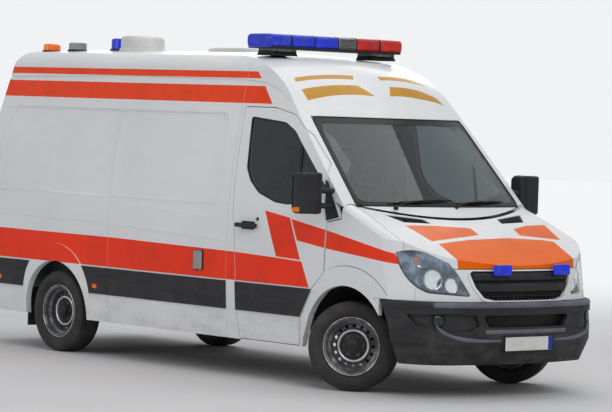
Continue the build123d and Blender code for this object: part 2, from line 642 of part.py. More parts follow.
def front_bumper():
    """Wrap-round bumper: a leaning shell with an air intake, lamp recesses and arch ends."""
    def block(inset, low, high):
        lower = extrude(Plane.XY.offset(430.0) * bumper_plan(inset), high - 430.0)
        skirt = extrude(Plane.XY.offset(430.0) * bumper_plan(inset), low - 430.0, taper=22)
        return lower + skirt

    outer = block(0.0, BUMPER_LOW_Z, BUMPER_TOP_Z)
    outer = fillet(outer.edges().group_by(Axis.Z)[-1].filter_by(lambda e: e.center().X > ahead(420)), 20)
    inner = block(BUMPER_WALL, BUMPER_LOW_Z - 60, BUMPER_TOP_Z - 30)
    open_top = extrude(Plane.XY.offset(BUMPER_TOP_Z - 40) * bumper_plan(90.0), 60)
    shell = outer - inner - open_top
    arch_end = side_block([(300, 100), (300, 800), (392, 800), (398, 738), (451, 655), (514, 510), (545, 350),
                           (560, 100)], -1100, 1100)
    intake = extrude(Plane.YZ.offset(ahead(700)) * rounded(
        [(-470, 640), (470, 640), (400, 548), (-400, 548)], 22), 500)
    shell = shell - arch_end - intake
    upright = [extrude(Plane.XY.offset(440.0) * bumper_plan(inset), 260.0) for inset in (0.0, 22.0)]
    recess = end_block(FOG_RECESS, 600, 1200) & (upright[0] - upright[1])
    shell = shell - recess - mirrored(recess)
    lip = box_between((900, 996), (-430, 430), (490, 512)) & upright[0]
    holder = box_between((955, 1000), (-PLATE_HALF_WIDTH - 4, PLATE_HALF_WIDTH + 4), (PLATE_Z[0] - 4, PLATE_Z[1] + 4))
    return (shell + lip + holder) - number_plate()


def number_plate():
    """Bare plate on the front bumper."""
    plate = box_between((1000, 1004), (-PLATE_HALF_WIDTH, PLATE_HALF_WIDTH), PLATE_Z)
    return fillet(plate.edges().filter_by(Axis.X), 8)


def build_roof_items(forms, nodes):
    """Light bar and the lamps, vent and hatch that stand on the roof, with the other coloured lamps."""
    bar_section = rounded([(-150, 0), (150, 0), (150, 112), (-150, 112)], 38)

    def bar(y_from, y_to):
        face = Pos(ahead(BAR_AHEAD), BAR_Z) * bar_section
        return side_prism(Sketch() + face, y_from, y_to)

    blue = bar(-726, 6)
    blue = fillet(blue.edges().group_by(Axis.Y)[0], 26)
    red = bar(206, 726)
    red = fillet(red.edges().group_by(Axis.Y)[-1], 26)
    middle = bar(8, 204)
    feet = [Pos(ahead(BAR_AHEAD), y, BAR_Z - 42) * Box(190, 240, 82) for y in (-520, 560)]
    roof = section_prism(0)
    beacon = Pos(ahead(-3738), -300, 2640) * Cylinder(90, 112)
    beacon = fillet(beacon.edges().group_by(Axis.Z)[-1], 20) - roof
    horn = Pos(ahead(-4105), -500, 2600) * Cylinder(78, 100)
    horn = fillet(horn.edges().group_by(Axis.Z)[-1], 16) - roof
    nodes["roof_fittings"] = grouped(middle, feet[0] - roof, feet[1] - roof, horn)
    strobes = [box_between((950, 974), (y - wide / 2, y + wide / 2), (938, 1018)) for y, wide in STROBES]
    strobes = [fillet(strobe.edges(), 7) for strobe in strobes]
    nodes["blue_lamps"] = grouped(blue, beacon, *strobes)
    nodes["red_lamps"] = grouped(red, *tail_lamps(forms))
    vent = Pos(ahead(-3445), -300, 2650) * Cylinder(188, 130)
    vent = fillet(vent.edges().group_by(Axis.Z)[-1], 30) - roof
    hatch = Pos(ahead(-2370), 0, 2600) * Box(500, 500, 50)
    hatch = fillet(hatch.edges().group_by(Axis.Z)[-1], 12) - roof
    nodes["roof_vents"] = grouped(vent, hatch)
    amber = Pos(ahead(-4400), -560, 2590) * Cylinder(75, 90)
    amber = fillet(amber.edges().group_by(Axis.Z)[-1], 18) - roof
    marker = forms.trim_layer & marker_zones()
    nodes["amber_lamps"] = grouped(amber, *(marker + mirrored(marker)).solids())


def tail_lamps(forms):
    """Upright lamps wrapped round the rear corners beside the doors."""
    zone = box_between((-5000, -4752), (-1100, -916), (965, 1505))
    lamp = forms.trim_layer & zone
    return [lamp, mirrored(lamp)]


def marker_zones():
    """Blocks that cut the right side's marker lamps out of the rub strip."""
    zones = [box_between((x - 30, x + 30), (-1100, -600), (578, 612)) for x in MARKERS]
    return zones[0] + zones[1]


def build_inside(nodes):
    """Floor, wheel boxes, partition, seats, dashboard and steering wheel."""
    slab = box_between((-4780, -464), (-930, 930), (FLOOR_Z - FLOOR_THICK, FLOOR_Z))
    well_x = (REAR_AXLE - 455, REAR_AXLE + 455)
    for side in (-1, 1):
        y_in, y_out = 690.0, 932.0
        low, high = sorted((side * y_in, side * y_out))
        slab = slab + box_between((well_x[0] - 14, well_x[1] + 14), (low if side < 0 else low - 14,
                                  high + 14 if side < 0 else high), (FLOOR_Z - FLOOR_THICK, 834))
        slab = slab - box_between(well_x, (-1100 if side < 0 else low, high if side < 0 else 1100), (200, 820))
    for x in (-2900, -2500):
        for y in (-100, 100):
            slab = slab - Pos(ahead(x), y, FLOOR_Z - FLOOR_THICK / 2) * Cylinder(COT_HOLE_RADIUS, 80)
    nodes["floor"] = slab
    section = section_prism(WALL + 2)
    wall = box_between((-1450, -1420), (-1000, 1000), (FLOOR_Z, 2470)) & section
    hatch = box_between((-1500, -1300), (-350, 350), (1350, 1800))
    nodes["partition"] = wall - hatch
    seats = []
    for y in (-450, 450):
        base = box_between((-1130, -700), (y - 200, y + 200), (FLOOR_Z, 800))
        cushion = box_between((-1180, -640), (y - 245, y + 245), (800, 930))
        cushion = fillet(cushion.edges(), 40)
        back = Pos(ahead(-1200), y, 1235) * (Rot(0, -12, 0) * Box(120, 480, 640))
        back = fillet(back.edges(), 40)
        head = Pos(ahead(-1275), y, 1610) * (Rot(0, -12, 0) * Box(90, 270, 150))
        head = fillet(head.edges(), 30)
        seats.append(base + cushion + back + head)
    nodes["front_seats"] = grouped(*seats)
    dash_face = make_face(Polyline(*side_points(
        [(-440, 940), (-440, 1150), (-330, 1290), (-60, 1335), (-60, 1090), (-215, 960)]), close=True))
    nodes["dashboard"] = side_prism(fillet(dash_face.vertices(), 20), -850, 850)
    firewall = side_block([(-460, 522), (-444, 522), (-444, 790), (-30, 1000), (-16, 1300), (-34, 1300),
                           (-46, 1010), (-460, 802)], -925, 925)
    nodes["firewall"] = firewall
    plane = Plane(origin=(ahead(-570), -450, 1215), z_dir=(-math.cos(math.radians(28)), 0, math.sin(math.radians(28))))
    hoop = plane * Torus(195, 15)
    spoke = plane * Box(380, 34, 16)
    boss = plane * Cylinder(55, 50)
    post = rod((-575, -450, 1218), (-464, -450, 1159), 24)
    nodes["steering_wheel"] = hoop + spoke + boss + post


def tyre():
    """Tyre about its own axle, Y across: crowned tread, bulged sidewalls, open bead."""
    w, r = TYRE_HALF_WIDTH, TYRE_RADIUS
    bead = 206.0
    face = make_face([
        Line((bead, -76), (bead, 76)),
        Line((bead, 76), (222, 80)),
        ThreePointArc((222, 80), (276, w), (318, w - 10)),
        ThreePointArc((318, w - 10), (336, w - 20), (r - 3, w - 40)),
        ThreePointArc((r - 3, w - 40), (r, 0), (r - 3, 40 - w)),
        ThreePointArc((r - 3, 40 - w), (336, 20 - w), (318, 10 - w)),
        ThreePointArc((318, 10 - w), (276, -w), (222, -80)),
        Line((222, -80), (bead, -76)),
    ])
    return revolve(face, Axis.Y)


def rim():
    """Pressed steel wheel: stepped barrel, dished disc with round holes, raised ring and dark hub."""
    barrel = make_face(Polyline(
        (205, -86), (221, -92), (221, -84), (205, -78), (205, -46), (182, -30), (182, 30), (205, 46), (205, 78),
        (221, 84), (221, 92), (203, 86), (197, 80), (197, 50), (174, 36), (174, -36), (197, -50), (197, -80), close=True))
    disc_face = make_face(Polyline(
        (52, 6), (96, 6), (108, 26), (128, 26), (142, 12), (168, 6), (178, 4), (178, -4), (166, -2), (140, 4),
        (126, 18), (110, 18), (98, -2), (52, -2), close=True))
    piece = revolve(barrel, Axis.Y) + revolve(disc_face, Axis.Y)
    holes = [Rot(0, 22.5 * n, 0) * (Pos(154, 8, 0) * (Rot(90, 0, 0) * Cylinder(13, 60))) for n in range(16)]
    for hole in holes:
        piece = piece - hole
    hub = Pos(0, 14, 0) * (Rot(90, 0, 0) * Cylinder(52, 32))
    cap = Pos(0, 36, 0) * (Rot(90, 0, 0) * Cylinder(38, 24))
    nuts = [Rot(0, 60 * n, 0) * (Pos(76, 12, 0) * (Rot(90, 0, 0) * Cylinder(12, 20))) for n in range(6)]
    piece = piece + hub + cap
    for nut in nuts:
        piece = piece + nut
    return piece


def wheel_at(piece, side, station, turned):
    """A wheel piece carried to its axle end, outer face outwards, and steered if it is a front one."""
    flip = Rot(0, 0, 180) if side < 0 else Rot(0, 0, 0)
    placed = Pos(ahead(station), side * HALF_TRACK, TYRE_RADIUS) * (flip * piece)
    if not turned:
        return placed
    pin = Pos(ahead(FRONT_AXLE), side * KINGPIN_Y, 0)
    back = Pos(-ahead(FRONT_AXLE), -side * KINGPIN_Y, 0)
    return pin * (Rot(0, 0, STEER_REST) * (back * placed))


def knuckle():
    """Left upright about the wheel centre: flange, brake disc and carrier inboard of the hub."""
    disc_piece = Pos(0, -46, 0) * (Rot(90, 0, 0) * Cylinder(140, 22))
    stub = Pos(0, -32, 0) * (Rot(90, 0, 0) * Cylinder(36, 56))
    carrier = Pos(0, -78, 0) * Box(90, 40, 250)
    caliper = Pos(-105, -58, 30) * Box(50, 50, 100)
    return disc_piece + stub + carrier + caliper


def build_running_gear(nodes):
    """Wheels, knuckles, axles, chassis rails, engine, tank, exhaust and mud flaps."""
    one_tyre, one_rim, one_knuckle = tyre(), rim(), knuckle()
    for end, station, turned in (("front", FRONT_AXLE, True), ("rear", REAR_AXLE, False)):
        for side, name in ((-1, "right"), (1, "left")):
            nodes[f"wheel_{end}_{name}_tyre"] = wheel_at(one_tyre, side, station, turned)
            nodes[f"wheel_{end}_{name}_rim"] = wheel_at(one_rim, side, station, turned)
    for side, name in ((-1, "right"), (1, "left")):
        nodes[f"knuckle_{name}"] = wheel_at(one_knuckle, side, FRONT_AXLE, True)

    rail = box_between((-4780, 780), (-480, -410), (400, 516))
    rails = rail + mirrored(rail)
    for x in (-4700, -3900, -3100, -2300, -1500, -700, 700):
        rails = rails + box_between((x - 35, x + 35), (-410, 410), (430, 500))
    nodes["chassis_frame"] = rails
    beam = box_between((FRONT_AXLE - 90, FRONT_AXLE + 90), (-480, 480), (300, 398))
    arm = box_between((FRONT_AXLE - 26, FRONT_AXLE + 26), (-735, -470), (212, 244))
    drop = box_between((FRONT_AXLE - 60, FRONT_AXLE + 60), (-500, -420), (212, 330))
    strut = rod((FRONT_AXLE, -640, 250), (FRONT_AXLE, -600, 940), 26)
    top = box_between((FRONT_AXLE - 70, FRONT_AXLE + 70), (-660, -484), (915, 955))
    pillar = box_between((FRONT_AXLE - 50, FRONT_AXLE + 50), (-524, -484), (300, 955))
    corner = arm + drop + strut + top + pillar
    nodes["front_suspension"] = beam + corner + mirrored(corner)
    tube = Pos(ahead(REAR_AXLE), 0, TYRE_RADIUS) * (Rot(90, 0, 0) * Cylinder(46, 1500))
    axle = tube + Pos(ahead(REAR_AXLE), 0, TYRE_RADIUS) * Sphere(135)
    for side in (-1, 1):
        axle = axle + Pos(ahead(REAR_AXLE), side * 775, TYRE_RADIUS) * (Rot(90, 0, 0) * Cylinder(150, 50))
        axle = axle + box_between((REAR_AXLE - 70, REAR_AXLE + 70), (side * 560 - 34, side * 560 + 34), (290, 392))
        spring = side_prism(make_face([
            ThreePointArc((ahead(REAR_AXLE - 640), 470), (ahead(REAR_AXLE), 400), (ahead(REAR_AXLE + 640), 470)),
            Line((ahead(REAR_AXLE + 640), 470), (ahead(REAR_AXLE + 640), 448)),
            ThreePointArc((ahead(REAR_AXLE + 640), 448), (ahead(REAR_AXLE), 372), (ahead(REAR_AXLE - 640), 448)),
            Line((ahead(REAR_AXLE - 640), 448), (ahead(REAR_AXLE - 640), 470)),
        ]), side * 560 - 32, side * 560 + 32)
        axle = axle + spring
    nodes["rear_axle"] = axle
    block = box_between((0, 560), (-270, 270), (520, 980))
    sump = box_between((70, 450), (-180, 180), (404, 520))
    gearbox = box_between((-900, -130), (-150, 150), (300, 425)) + box_between((-330, -4), (-150, 150), (405, 600))
    shaft = rod((-900, 0, 362), (REAR_AXLE + 142, 0, TYRE_RADIUS), 34)
    nodes["engine"] = block + sump
    nodes["gearbox_and_shaft"] = gearbox + shaft
    tank = box_between((-2500, -1700), (-900, -500), (300, 500))
    nodes["fuel_tank"] = fillet(tank.edges(), 35)
    muffler = rod((-2600, 640, 400), (-1900, 640, 400), 85)
    pipe = rod((-1900, 640, 400), (-1250, 640, 430), 28) + rod((-2600, 640, 400), (-3080, 640, 400), 28)
    nodes["exhaust"] = muffler + pipe
    flap = box_between((-4172, -4158), (-900, -740), (185, 500))
    nodes["arch_liners"] = grouped(*pair(flap).solids(), *pair(front_liner()).solids())
    step = side_block([(-4906, 350), (-4906, 545), (-4862, 566), (-4790, 566), (-4790, 330), (-4880, 330)], -975, 975)
    nodes["rear_bumper"] = fillet(step.edges().filter_by(Axis.Z), 20)


def front_liner():
    """Thin curved wall over the right front wheel, with a flat inner wall and room for the strut."""
    x, z, r = FRONT_ARCH
    ring = disc((x, z, r + 5), -925, -545) - disc((x, z, r + 1), -926, -544)
    wall = disc((x, z, r + 5), -549, -545)
    room = box_between((FRONT_AXLE - 110, FRONT_AXLE + 110), (-680, -400), (150, 900))
    upper = box_between((x - 600, x + 600), (-1000, -400), (z + 60, 1000))
    return ((ring + wall) & upper) - room


if __name__ == "__main__":
    main()
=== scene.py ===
"""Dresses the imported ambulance: paint and stripes, glass, lamps, wheels, cab and underbody.

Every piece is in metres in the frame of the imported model: X forward, Y to the vehicle's left, Z up.
"""
from __future__ import annotations

import json
import logging
import math
from dataclasses import dataclass, field
from enum import Enum
from typing import Iterable, Sequence

import bmesh
import bpy
from mathutils import Matrix, Vector, geometry
from mathutils.bvhtree import BVHTree

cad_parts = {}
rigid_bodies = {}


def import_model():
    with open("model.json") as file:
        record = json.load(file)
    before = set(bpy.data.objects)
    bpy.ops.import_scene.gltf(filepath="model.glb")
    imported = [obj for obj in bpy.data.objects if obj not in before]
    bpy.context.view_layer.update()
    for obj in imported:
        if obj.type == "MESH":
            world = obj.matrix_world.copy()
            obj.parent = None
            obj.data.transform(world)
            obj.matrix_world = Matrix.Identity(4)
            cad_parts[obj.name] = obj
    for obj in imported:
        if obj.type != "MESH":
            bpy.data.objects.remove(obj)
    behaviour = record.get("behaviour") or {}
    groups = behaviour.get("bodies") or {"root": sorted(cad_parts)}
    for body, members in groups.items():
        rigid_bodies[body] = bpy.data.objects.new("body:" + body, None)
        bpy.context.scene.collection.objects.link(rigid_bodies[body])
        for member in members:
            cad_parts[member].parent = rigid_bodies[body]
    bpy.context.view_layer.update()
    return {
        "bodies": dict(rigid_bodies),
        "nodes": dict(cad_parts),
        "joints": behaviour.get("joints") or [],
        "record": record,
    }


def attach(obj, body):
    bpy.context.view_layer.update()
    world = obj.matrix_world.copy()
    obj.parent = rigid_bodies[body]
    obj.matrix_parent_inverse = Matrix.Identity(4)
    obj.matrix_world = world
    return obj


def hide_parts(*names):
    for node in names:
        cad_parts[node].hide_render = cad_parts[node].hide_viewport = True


LOG = logging.getLogger("ambulance")

# Place of the front arches' centre, from which lengths along the vehicle are given
ARCH_X = 1.951
# Colour of the surroundings where the camera sees them
BACKDROP = (0.97, 0.985, 1.0, 1.0)
# Sharpest bend, in degrees, that a bevel leaves alone
BEVEL_ANGLE = 40
# Where rays start: ahead of the nose, behind the tail, beside the vehicle and above the bonnet
BEFORE_NOSE, BEHIND_TAIL, BESIDE, ABOVE = 3.5, -3.4, 1.3, 2.0
ORIGIN, AHEAD, BACK, LEFTWARD, UP, DOWN = (0, 0, 0), (1, 0, 0), (-1, 0, 0), (0, 1, 0), (0, 0, 1), (0, 0, -1)
Point = Sequence[float]


class Side(Enum):
    """The two sides of the vehicle, by the sign of Y."""

    RIGHT = -1
    LEFT = 1

    @property
    def label(self) -> str:
        """The side as it stands in the names of pieces."""
        return self.name.lower()


def at(ahead: float, y: float, z: float) -> Vector:
    """A point given by its distance ahead of the front arch's centre."""
    return Vector((ARCH_X + ahead, y, z))


# ---------------------------------------------------------------- shader graph


class Graph:
    """Thin helper that adds nodes to a material's or a group's tree."""

    def __init__(self, tree: bpy.types.NodeTree) -> None:
        """Starts from a tree."""
        self.tree = tree

    def add(self, kind: str, **values: object) -> bpy.types.Node:
        """Adds a node and sets its attributes.

        Args:
            kind: Blender's name of the node type.
            values: attributes of the node.

        Returns:
            The new node.
        """
        node = self.tree.nodes.new(kind)
        for name, value in values.items():
            setattr(node, name, value)
        return node

    def put(self, socket: bpy.types.NodeSocket, value: object) -> None:
        """Links value into socket if it is a socket, or sets it as the default.

        Args:
            socket: the input to feed.
            value: a socket, a plain value, or None to leave it.
        """
        if isinstance(value, bpy.types.NodeSocket):
            self.tree.links.new(value, socket)
        elif value is not None:
            socket.default_value = value

    def math(self, operation: str, a: object, b: object = None, clamp: bool = False) -> bpy.types.NodeSocket:
        """One Math node and its output.

        Args:
            operation: Blender's name of the operation.
            a: first value.
            b: second value, if there is one.
            clamp: keeps the result from 0 to 1.

        Returns:
            The result.
        """
        node = self.add("ShaderNodeMath", operation=operation, use_clamp=clamp)
        self.put(node.inputs[0], a)
        self.put(node.inputs[1], b)
        return node.outputs[0]

    def times(self, a: object, b: object) -> bpy.types.NodeSocket:
        """The product of two values."""
        return self.math("MULTIPLY", a, b)

    def remap(self, value: object, low: float, high: float, to_low: float = 0.0, to_high: float = 1.0,
            smooth: bool = True) -> bpy.types.NodeSocket:
        """Maps value from one range to another, clamped.

        Args:
            value: what is mapped.
            low: where its range starts.
            high: where its range ends.
            to_low: what low becomes.
            to_high: what high becomes.
            smooth: eases in and out.

        Returns:
            The mapped value.
        """
        node = self.add("ShaderNodeMapRange", interpolation_type="SMOOTHSTEP" if smooth else "LINEAR")
        for name, given in (("Value", value), ("From Min", low), ("From Max", high), ("To Min", to_low),
                ("To Max", to_high)):
            self.put(node.inputs[name], given)
        return node.outputs["Result"]

    def mix(self, factor: object, a: object, b: object) -> bpy.types.NodeSocket:
        """Mixes two colours by a factor.

        Args:
            factor: share of the second colour.
            a: first colour.
            b: second colour.

        Returns:
            The mixed colour.
        """
        node = self.add("ShaderNodeMix", data_type="RGBA")
        self.put(node.inputs[0], factor)
        self.put(node.inputs[6], a)
        self.put(node.inputs[7], b)
        return node.outputs[2]

    def noise(self, vector: object, scale: float, detail: float = 3.0, rough: float = 0.55) -> bpy.types.NodeSocket:
        """Noise texture's factor.

        Args:
            vector: place in the pattern.
            scale: how fine the pattern is.
            detail: number of its layers.
            rough: weight of the finer layers.

        Returns:
            A value from 0 to 1.
        """
        node = self.add("ShaderNodeTexNoise")
        self.put(node.inputs["Vector"], vector)
        self.put(node.inputs["Scale"], scale)
        self.put(node.inputs["Detail"], detail)
        self.put(node.inputs["Roughness"], rough)
        return node.outputs["Fac"]

    def stretch(self, vector: object, scale: Point) -> bpy.types.NodeSocket:
        """Scales a vector by three factors.

        Args:
            vector: what is scaled.
            scale: factor along each axis.

        Returns:
            The scaled vector.
        """
        node = self.add("ShaderNodeVectorMath", operation="MULTIPLY")
        self.put(node.inputs[0], vector)
        self.put(node.inputs[1], tuple(scale))
        return node.outputs[0]


def rgb(red: float, green: float, blue: float) -> tuple[float, float, float, float]:
    """Opaque linear colour from display values between 0 and 1.

    Args:
        red: red part.
        green: green part.
        blue: blue part.

    Returns:
        Red, green, blue and an alpha of 1.
    """
    def linear(value: float) -> float:
        """Linear value of one display value."""
        return value / 12.92 if value <= 0.04045 else ((value + 0.055) / 1.055) ** 2.4

    return (linear(red), linear(green), linear(blue), 1.0)


class Effects:
    """Node groups that several finishes share. Each puts out masks that change over the surface."""

    def __init__(self) -> None:
        """Builds each group once."""
        self.half_plane = self._half_plane()
        self.road_dust = self._road_dust()
        self.fine_grain = self._fine_grain()
        self.orange_peel = self._orange_peel()
        self.scuffs = self._scuffs()

    @staticmethod
    def _group(name: str, inputs: Iterable[tuple[str, str, object]], outputs: Iterable[tuple[str, str]]) -> tuple[
            bpy.types.NodeTree, Graph, bpy.types.Node, bpy.types.Node]:
        """Starts a group with its sockets.

        Args:
            name: name of the group.
            inputs: socket name, type and default of each input.
            outputs: socket name and type of each output.

        Returns:
            The tree, its helper, and its input and output nodes.
        """
        tree = bpy.data.node_groups.new(name, "ShaderNodeTree")
        for label, kind, default in inputs:
            socket = tree.interface.new_socket(name=label, in_out="INPUT", socket_type=kind)
            if default is not None:
                socket.default_value = default
        for label, kind in outputs:
            tree.interface.new_socket(name=label, in_out="OUTPUT", socket_type=kind)
        graph = Graph(tree)
        return tree, graph, graph.add("NodeGroupInput"), graph.add("NodeGroupOutput")

    def _half_plane(self) -> bpy.types.NodeTree:
        """1 on one side of a straight edge, 0 on the other, with a soft line a millimetre wide.

        Returns:
            The group.
        """
        tree, g, given, out = self._group("straight_edge",
            [("Position", "NodeSocketVector", None), ("Normal", "NodeSocketVector", None),
            ("Offset", "NodeSocketFloat", 0.0)], [("Mask", "NodeSocketFloat")])
        dot = g.add("ShaderNodeVectorMath", operation="DOT_PRODUCT")
        g.put(dot.inputs[0], given.outputs["Position"])
        g.put(dot.inputs[1], given.outputs["Normal"])
        depth = g.math("SUBTRACT", given.outputs["Offset"], dot.outputs["Value"])
        g.put(out.inputs["Mask"], g.remap(depth, -0.0006, 0.0006, smooth=False))
        return tree

    def _road_dust(self) -> bpy.types.NodeTree:
        """Dust that settles low down, in cloudy streaks.

        Returns:
            The group.
        """
        tree, g, given, out = self._group("road_dust",
            [("Position", "NodeSocketVector", None), ("Top", "NodeSocketFloat", 0.9),
            ("Amount", "NodeSocketFloat", 0.5)], [("Mask", "NodeSocketFloat")])
        parts = g.add("ShaderNodeSeparateXYZ")
        g.put(parts.inputs[0], given.outputs["Position"])
        low = g.remap(parts.outputs["Z"], 0.2, given.outputs["Top"], 1.0, 0.0)
        cloud = g.noise(g.stretch(given.outputs["Position"], (1.5, 1.5, 4.0)), 3.0, 5.0, 0.6)
        streak = g.noise(g.stretch(given.outputs["Position"], (22.0, 22.0, 1.5)), 1.0, 3.0)
        cover = g.times(g.remap(cloud, 0.35, 0.7), g.remap(streak, 0.3, 0.75, 0.5, 1.0))
        dust = g.times(g.math("ADD", g.times(low, 0.85), 0.12), cover)
        g.put(out.inputs["Mask"], g.math("MULTIPLY", dust, given.outputs["Amount"], clamp=True))
        return tree

    def _fine_grain(self) -> bpy.types.NodeTree:
        """Moulded plastic's leathery grain as a height, with a slow cloud beside it.

        Returns:
            The group.
        """
        tree, g, given, out = self._group("moulded_grain",
            [("Position", "NodeSocketVector", None), ("Scale", "NodeSocketFloat", 420.0)],
            [("Height", "NodeSocketFloat"), ("Cloud", "NodeSocketFloat")])
        cells = g.add("ShaderNodeTexVoronoi", feature="SMOOTH_F1")
        g.put(cells.inputs["Vector"], given.outputs["Position"])
        g.put(cells.inputs["Scale"], given.outputs["Scale"])
        g.put(out.inputs["Height"], cells.outputs["Distance"])
        g.put(out.inputs["Cloud"], g.noise(given.outputs["Position"], 5.0, 4.0))
        return tree

    def _orange_peel(self) -> bpy.types.NodeTree:
        """Sprayed paint's faint ripple as a height, with dents' slow waves.

        Returns:
            The group.
        """
        tree, g, given, out = self._group("sprayed_ripple", [("Position", "NodeSocketVector", None)],
            [("Height", "NodeSocketFloat")])
        fine = g.noise(given.outputs["Position"], 160.0, 2.0)
        slow = g.noise(given.outputs["Position"], 1.7, 1.0)
        g.put(out.inputs["Height"], g.math("ADD", g.times(fine, 0.12), slow))
        return tree

    def _scuffs(self) -> bpy.types.NodeTree:
        """Thin scattered scratches and rub marks.

        Returns:
            The group.
        """
        tree, g, given, out = self._group("scuff_marks",
            [("Position", "NodeSocketVector", None), ("Scale", "NodeSocketFloat", 30.0)],
            [("Mask", "NodeSocketFloat")])
        drift = g.noise(g.stretch(given.outputs["Position"], (1.0, 1.0, 7.0)), 12.0, 4.0, 0.7)
        line = g.math("ABSOLUTE", g.math("SUBTRACT", drift, 0.5))
        patch = g.noise(given.outputs["Position"], 2.2, 2.0)
        g.put(out.inputs["Mask"], g.times(g.remap(line, 0.0, 0.02, 1.0, 0.0), g.remap(patch, 0.55, 0.7)))
        return tree


class Shading:
    """Builds one material: a Principled shader with position, shared effects and stripes at hand."""

    def __init__(self, name: str, effects: Effects) -> None:
        """Starts a material.

        Args:
            name: the material's name.
            effects: the shared groups.
        """
        self.material = bpy.data.materials.new(name)
        self.material.use_nodes = True
        self.material.node_tree.nodes.clear()
        self.graph = Graph(self.material.node_tree)
        self.effects = effects
        self.shader = self.graph.add("ShaderNodeBsdfPrincipled")
        output = self.graph.add("ShaderNodeOutputMaterial")
        self.graph.put(output.inputs["Surface"], self.shader.outputs[0])
        self.place = self.graph.add("ShaderNodeTexCoord").outputs["Object"]

    def group(self, tree: bpy.types.NodeTree, **values: object) -> bpy.types.Node:
        """Places a shared group, fed with the surface's position.

        Args:
            tree: the group.
            values: what its other inputs get.

        Returns:
            The group's node.
        """
        node = self.graph.add("ShaderNodeGroup", node_tree=tree)
        self.graph.put(node.inputs["Position"], self.place)
        for name, value in values.items():
            self.graph.put(node.inputs[name], value)
        return node

    def set(self, **values: object) -> None:
        """Sets the shader's sockets; an underscore in a name stands for a space."""
        for name, value in values.items():
            self.graph.put(self.shader.inputs[name.replace("_", " ")], value)

    def bump(self, height: object, strength: float, distance: float) -> None:
        """Feeds a height through a Bump node into the shader's normal.

        Args:
            height: how far each point stands out.
            strength: share of the effect.
            distance: the height's scale in metres.
        """
        node = self.graph.add("ShaderNodeBump")
        self.graph.put(node.inputs["Height"], height)
        node.inputs["Strength"].default_value = strength
        node.inputs["Distance"].default_value = distance
        self.graph.put(self.shader.inputs["Normal"], node.outputs[0])

    def polygon(self, points: Sequence[Point], axes: tuple[int, int]) -> bpy.types.NodeSocket:
        """Mask that is 1 inside a convex outline drawn on two of the position's axes.

        Args:
            points: the outline's corners in order, in row metres.
            axes: which two of X, Y and Z the corners are given in.

        Returns:
            The mask's socket.
        """
        middle = [sum(p[i] for p in points) / len(points) for i in (0, 1)]
        mask: object = None
        for (ax, ay), (bx, by) in zip(points, list(points[1:]) + [points[0]]):
            nx, ny = by - ay, ax - bx
            length = math.hypot(nx, ny)
            nx, ny = nx / length, ny / length
            if nx * (middle[0] - ax) + ny * (middle[1] - ay) > 0:
                nx, ny = -nx, -ny
            normal = [0.0, 0.0, 0.0]
            normal[axes[0]], normal[axes[1]] = nx, ny
            edge = self.group(self.effects.half_plane, Normal=tuple(normal), Offset=nx * ax + ny * ay)
            out = edge.outputs["Mask"]
            mask = out if mask is None else self.graph.math("MULTIPLY", mask, out)
        return mask

    def any_of(self, masks: Sequence[object]) -> object:
        """The largest of several masks.

        Args:
            masks: values from 0 to 1.

        Returns:
            The largest of them at each point.
        """
        found = masks[0]
        for mask in masks[1:]:
            found = self.graph.math("MAXIMUM", found, mask)
        return found


# ---------------------------------------------------------------- finishes


def ahead_points(points: Sequence[Point]) -> list[tuple[float, float]]:
    """Corners whose first number is the distance ahead of the front arch, in row metres."""
    return [(ARCH_X + a, b) for a, b in points]


SIDE_BANDS = (((-4.9, 1.022), (-4.9, 0.767), (-1.3, 0.765), (-0.412, 0.764), (-0.503, 0.96), (-0.804, 0.973),
    (-1.3, 0.99), (-2.9, 1.016)), ((-0.963, 1.334), (-0.662, 1.292), (-0.519, 0.972), (-0.804, 0.982)),
    ((-0.646, 1.283), (-0.226, 1.217), (0.519, 1.082), (0.575, 0.975), (-0.233, 1.078), (-0.56, 1.109)),)
ROOF_BANDS = (((-4.62, 2.425), (-4.62, 2.37), (-1.236, 2.37), (-1.296, 2.425)),
    ((-4.72, 2.31), (-4.72, 2.17), (-1.05, 2.17), (-1.18, 2.31)),)
DOME_BANDS = (((-0.969, -0.725), (-0.872, -0.19), (-0.824, -0.224), (-0.928, -0.748)),
    ((-0.852, -0.75), (-0.761, -0.236), (-0.658, -0.138), (-0.761, -0.756)),
    ((-0.862, 0.061), (-0.905, 0.42), (-0.885, 0.655), (-0.816, 0.063)),
    ((-0.748, 0.099), (-0.778, 0.428), (-0.778, 0.648), (-0.739, 0.712), (-0.685, 0.397), (-0.658, 0.026)),)
BONNET_BANDS = (((0.318, -0.693), (0.324, -0.387), (0.368, -0.039), (0.478, -0.05), (0.572, -0.644)),
    ((0.383, 0.417), (0.326, 0.615), (0.311, 0.839), (0.563, 0.767), (0.486, 0.389)),
    ((0.61, -0.611), (0.552, -0.233), (0.527, 0.225), (0.561, 0.569), (0.612, 0.751), (0.835, 0.629), (1.04, 0.6),
    (1.04, -0.63), (0.818, -0.63)),)


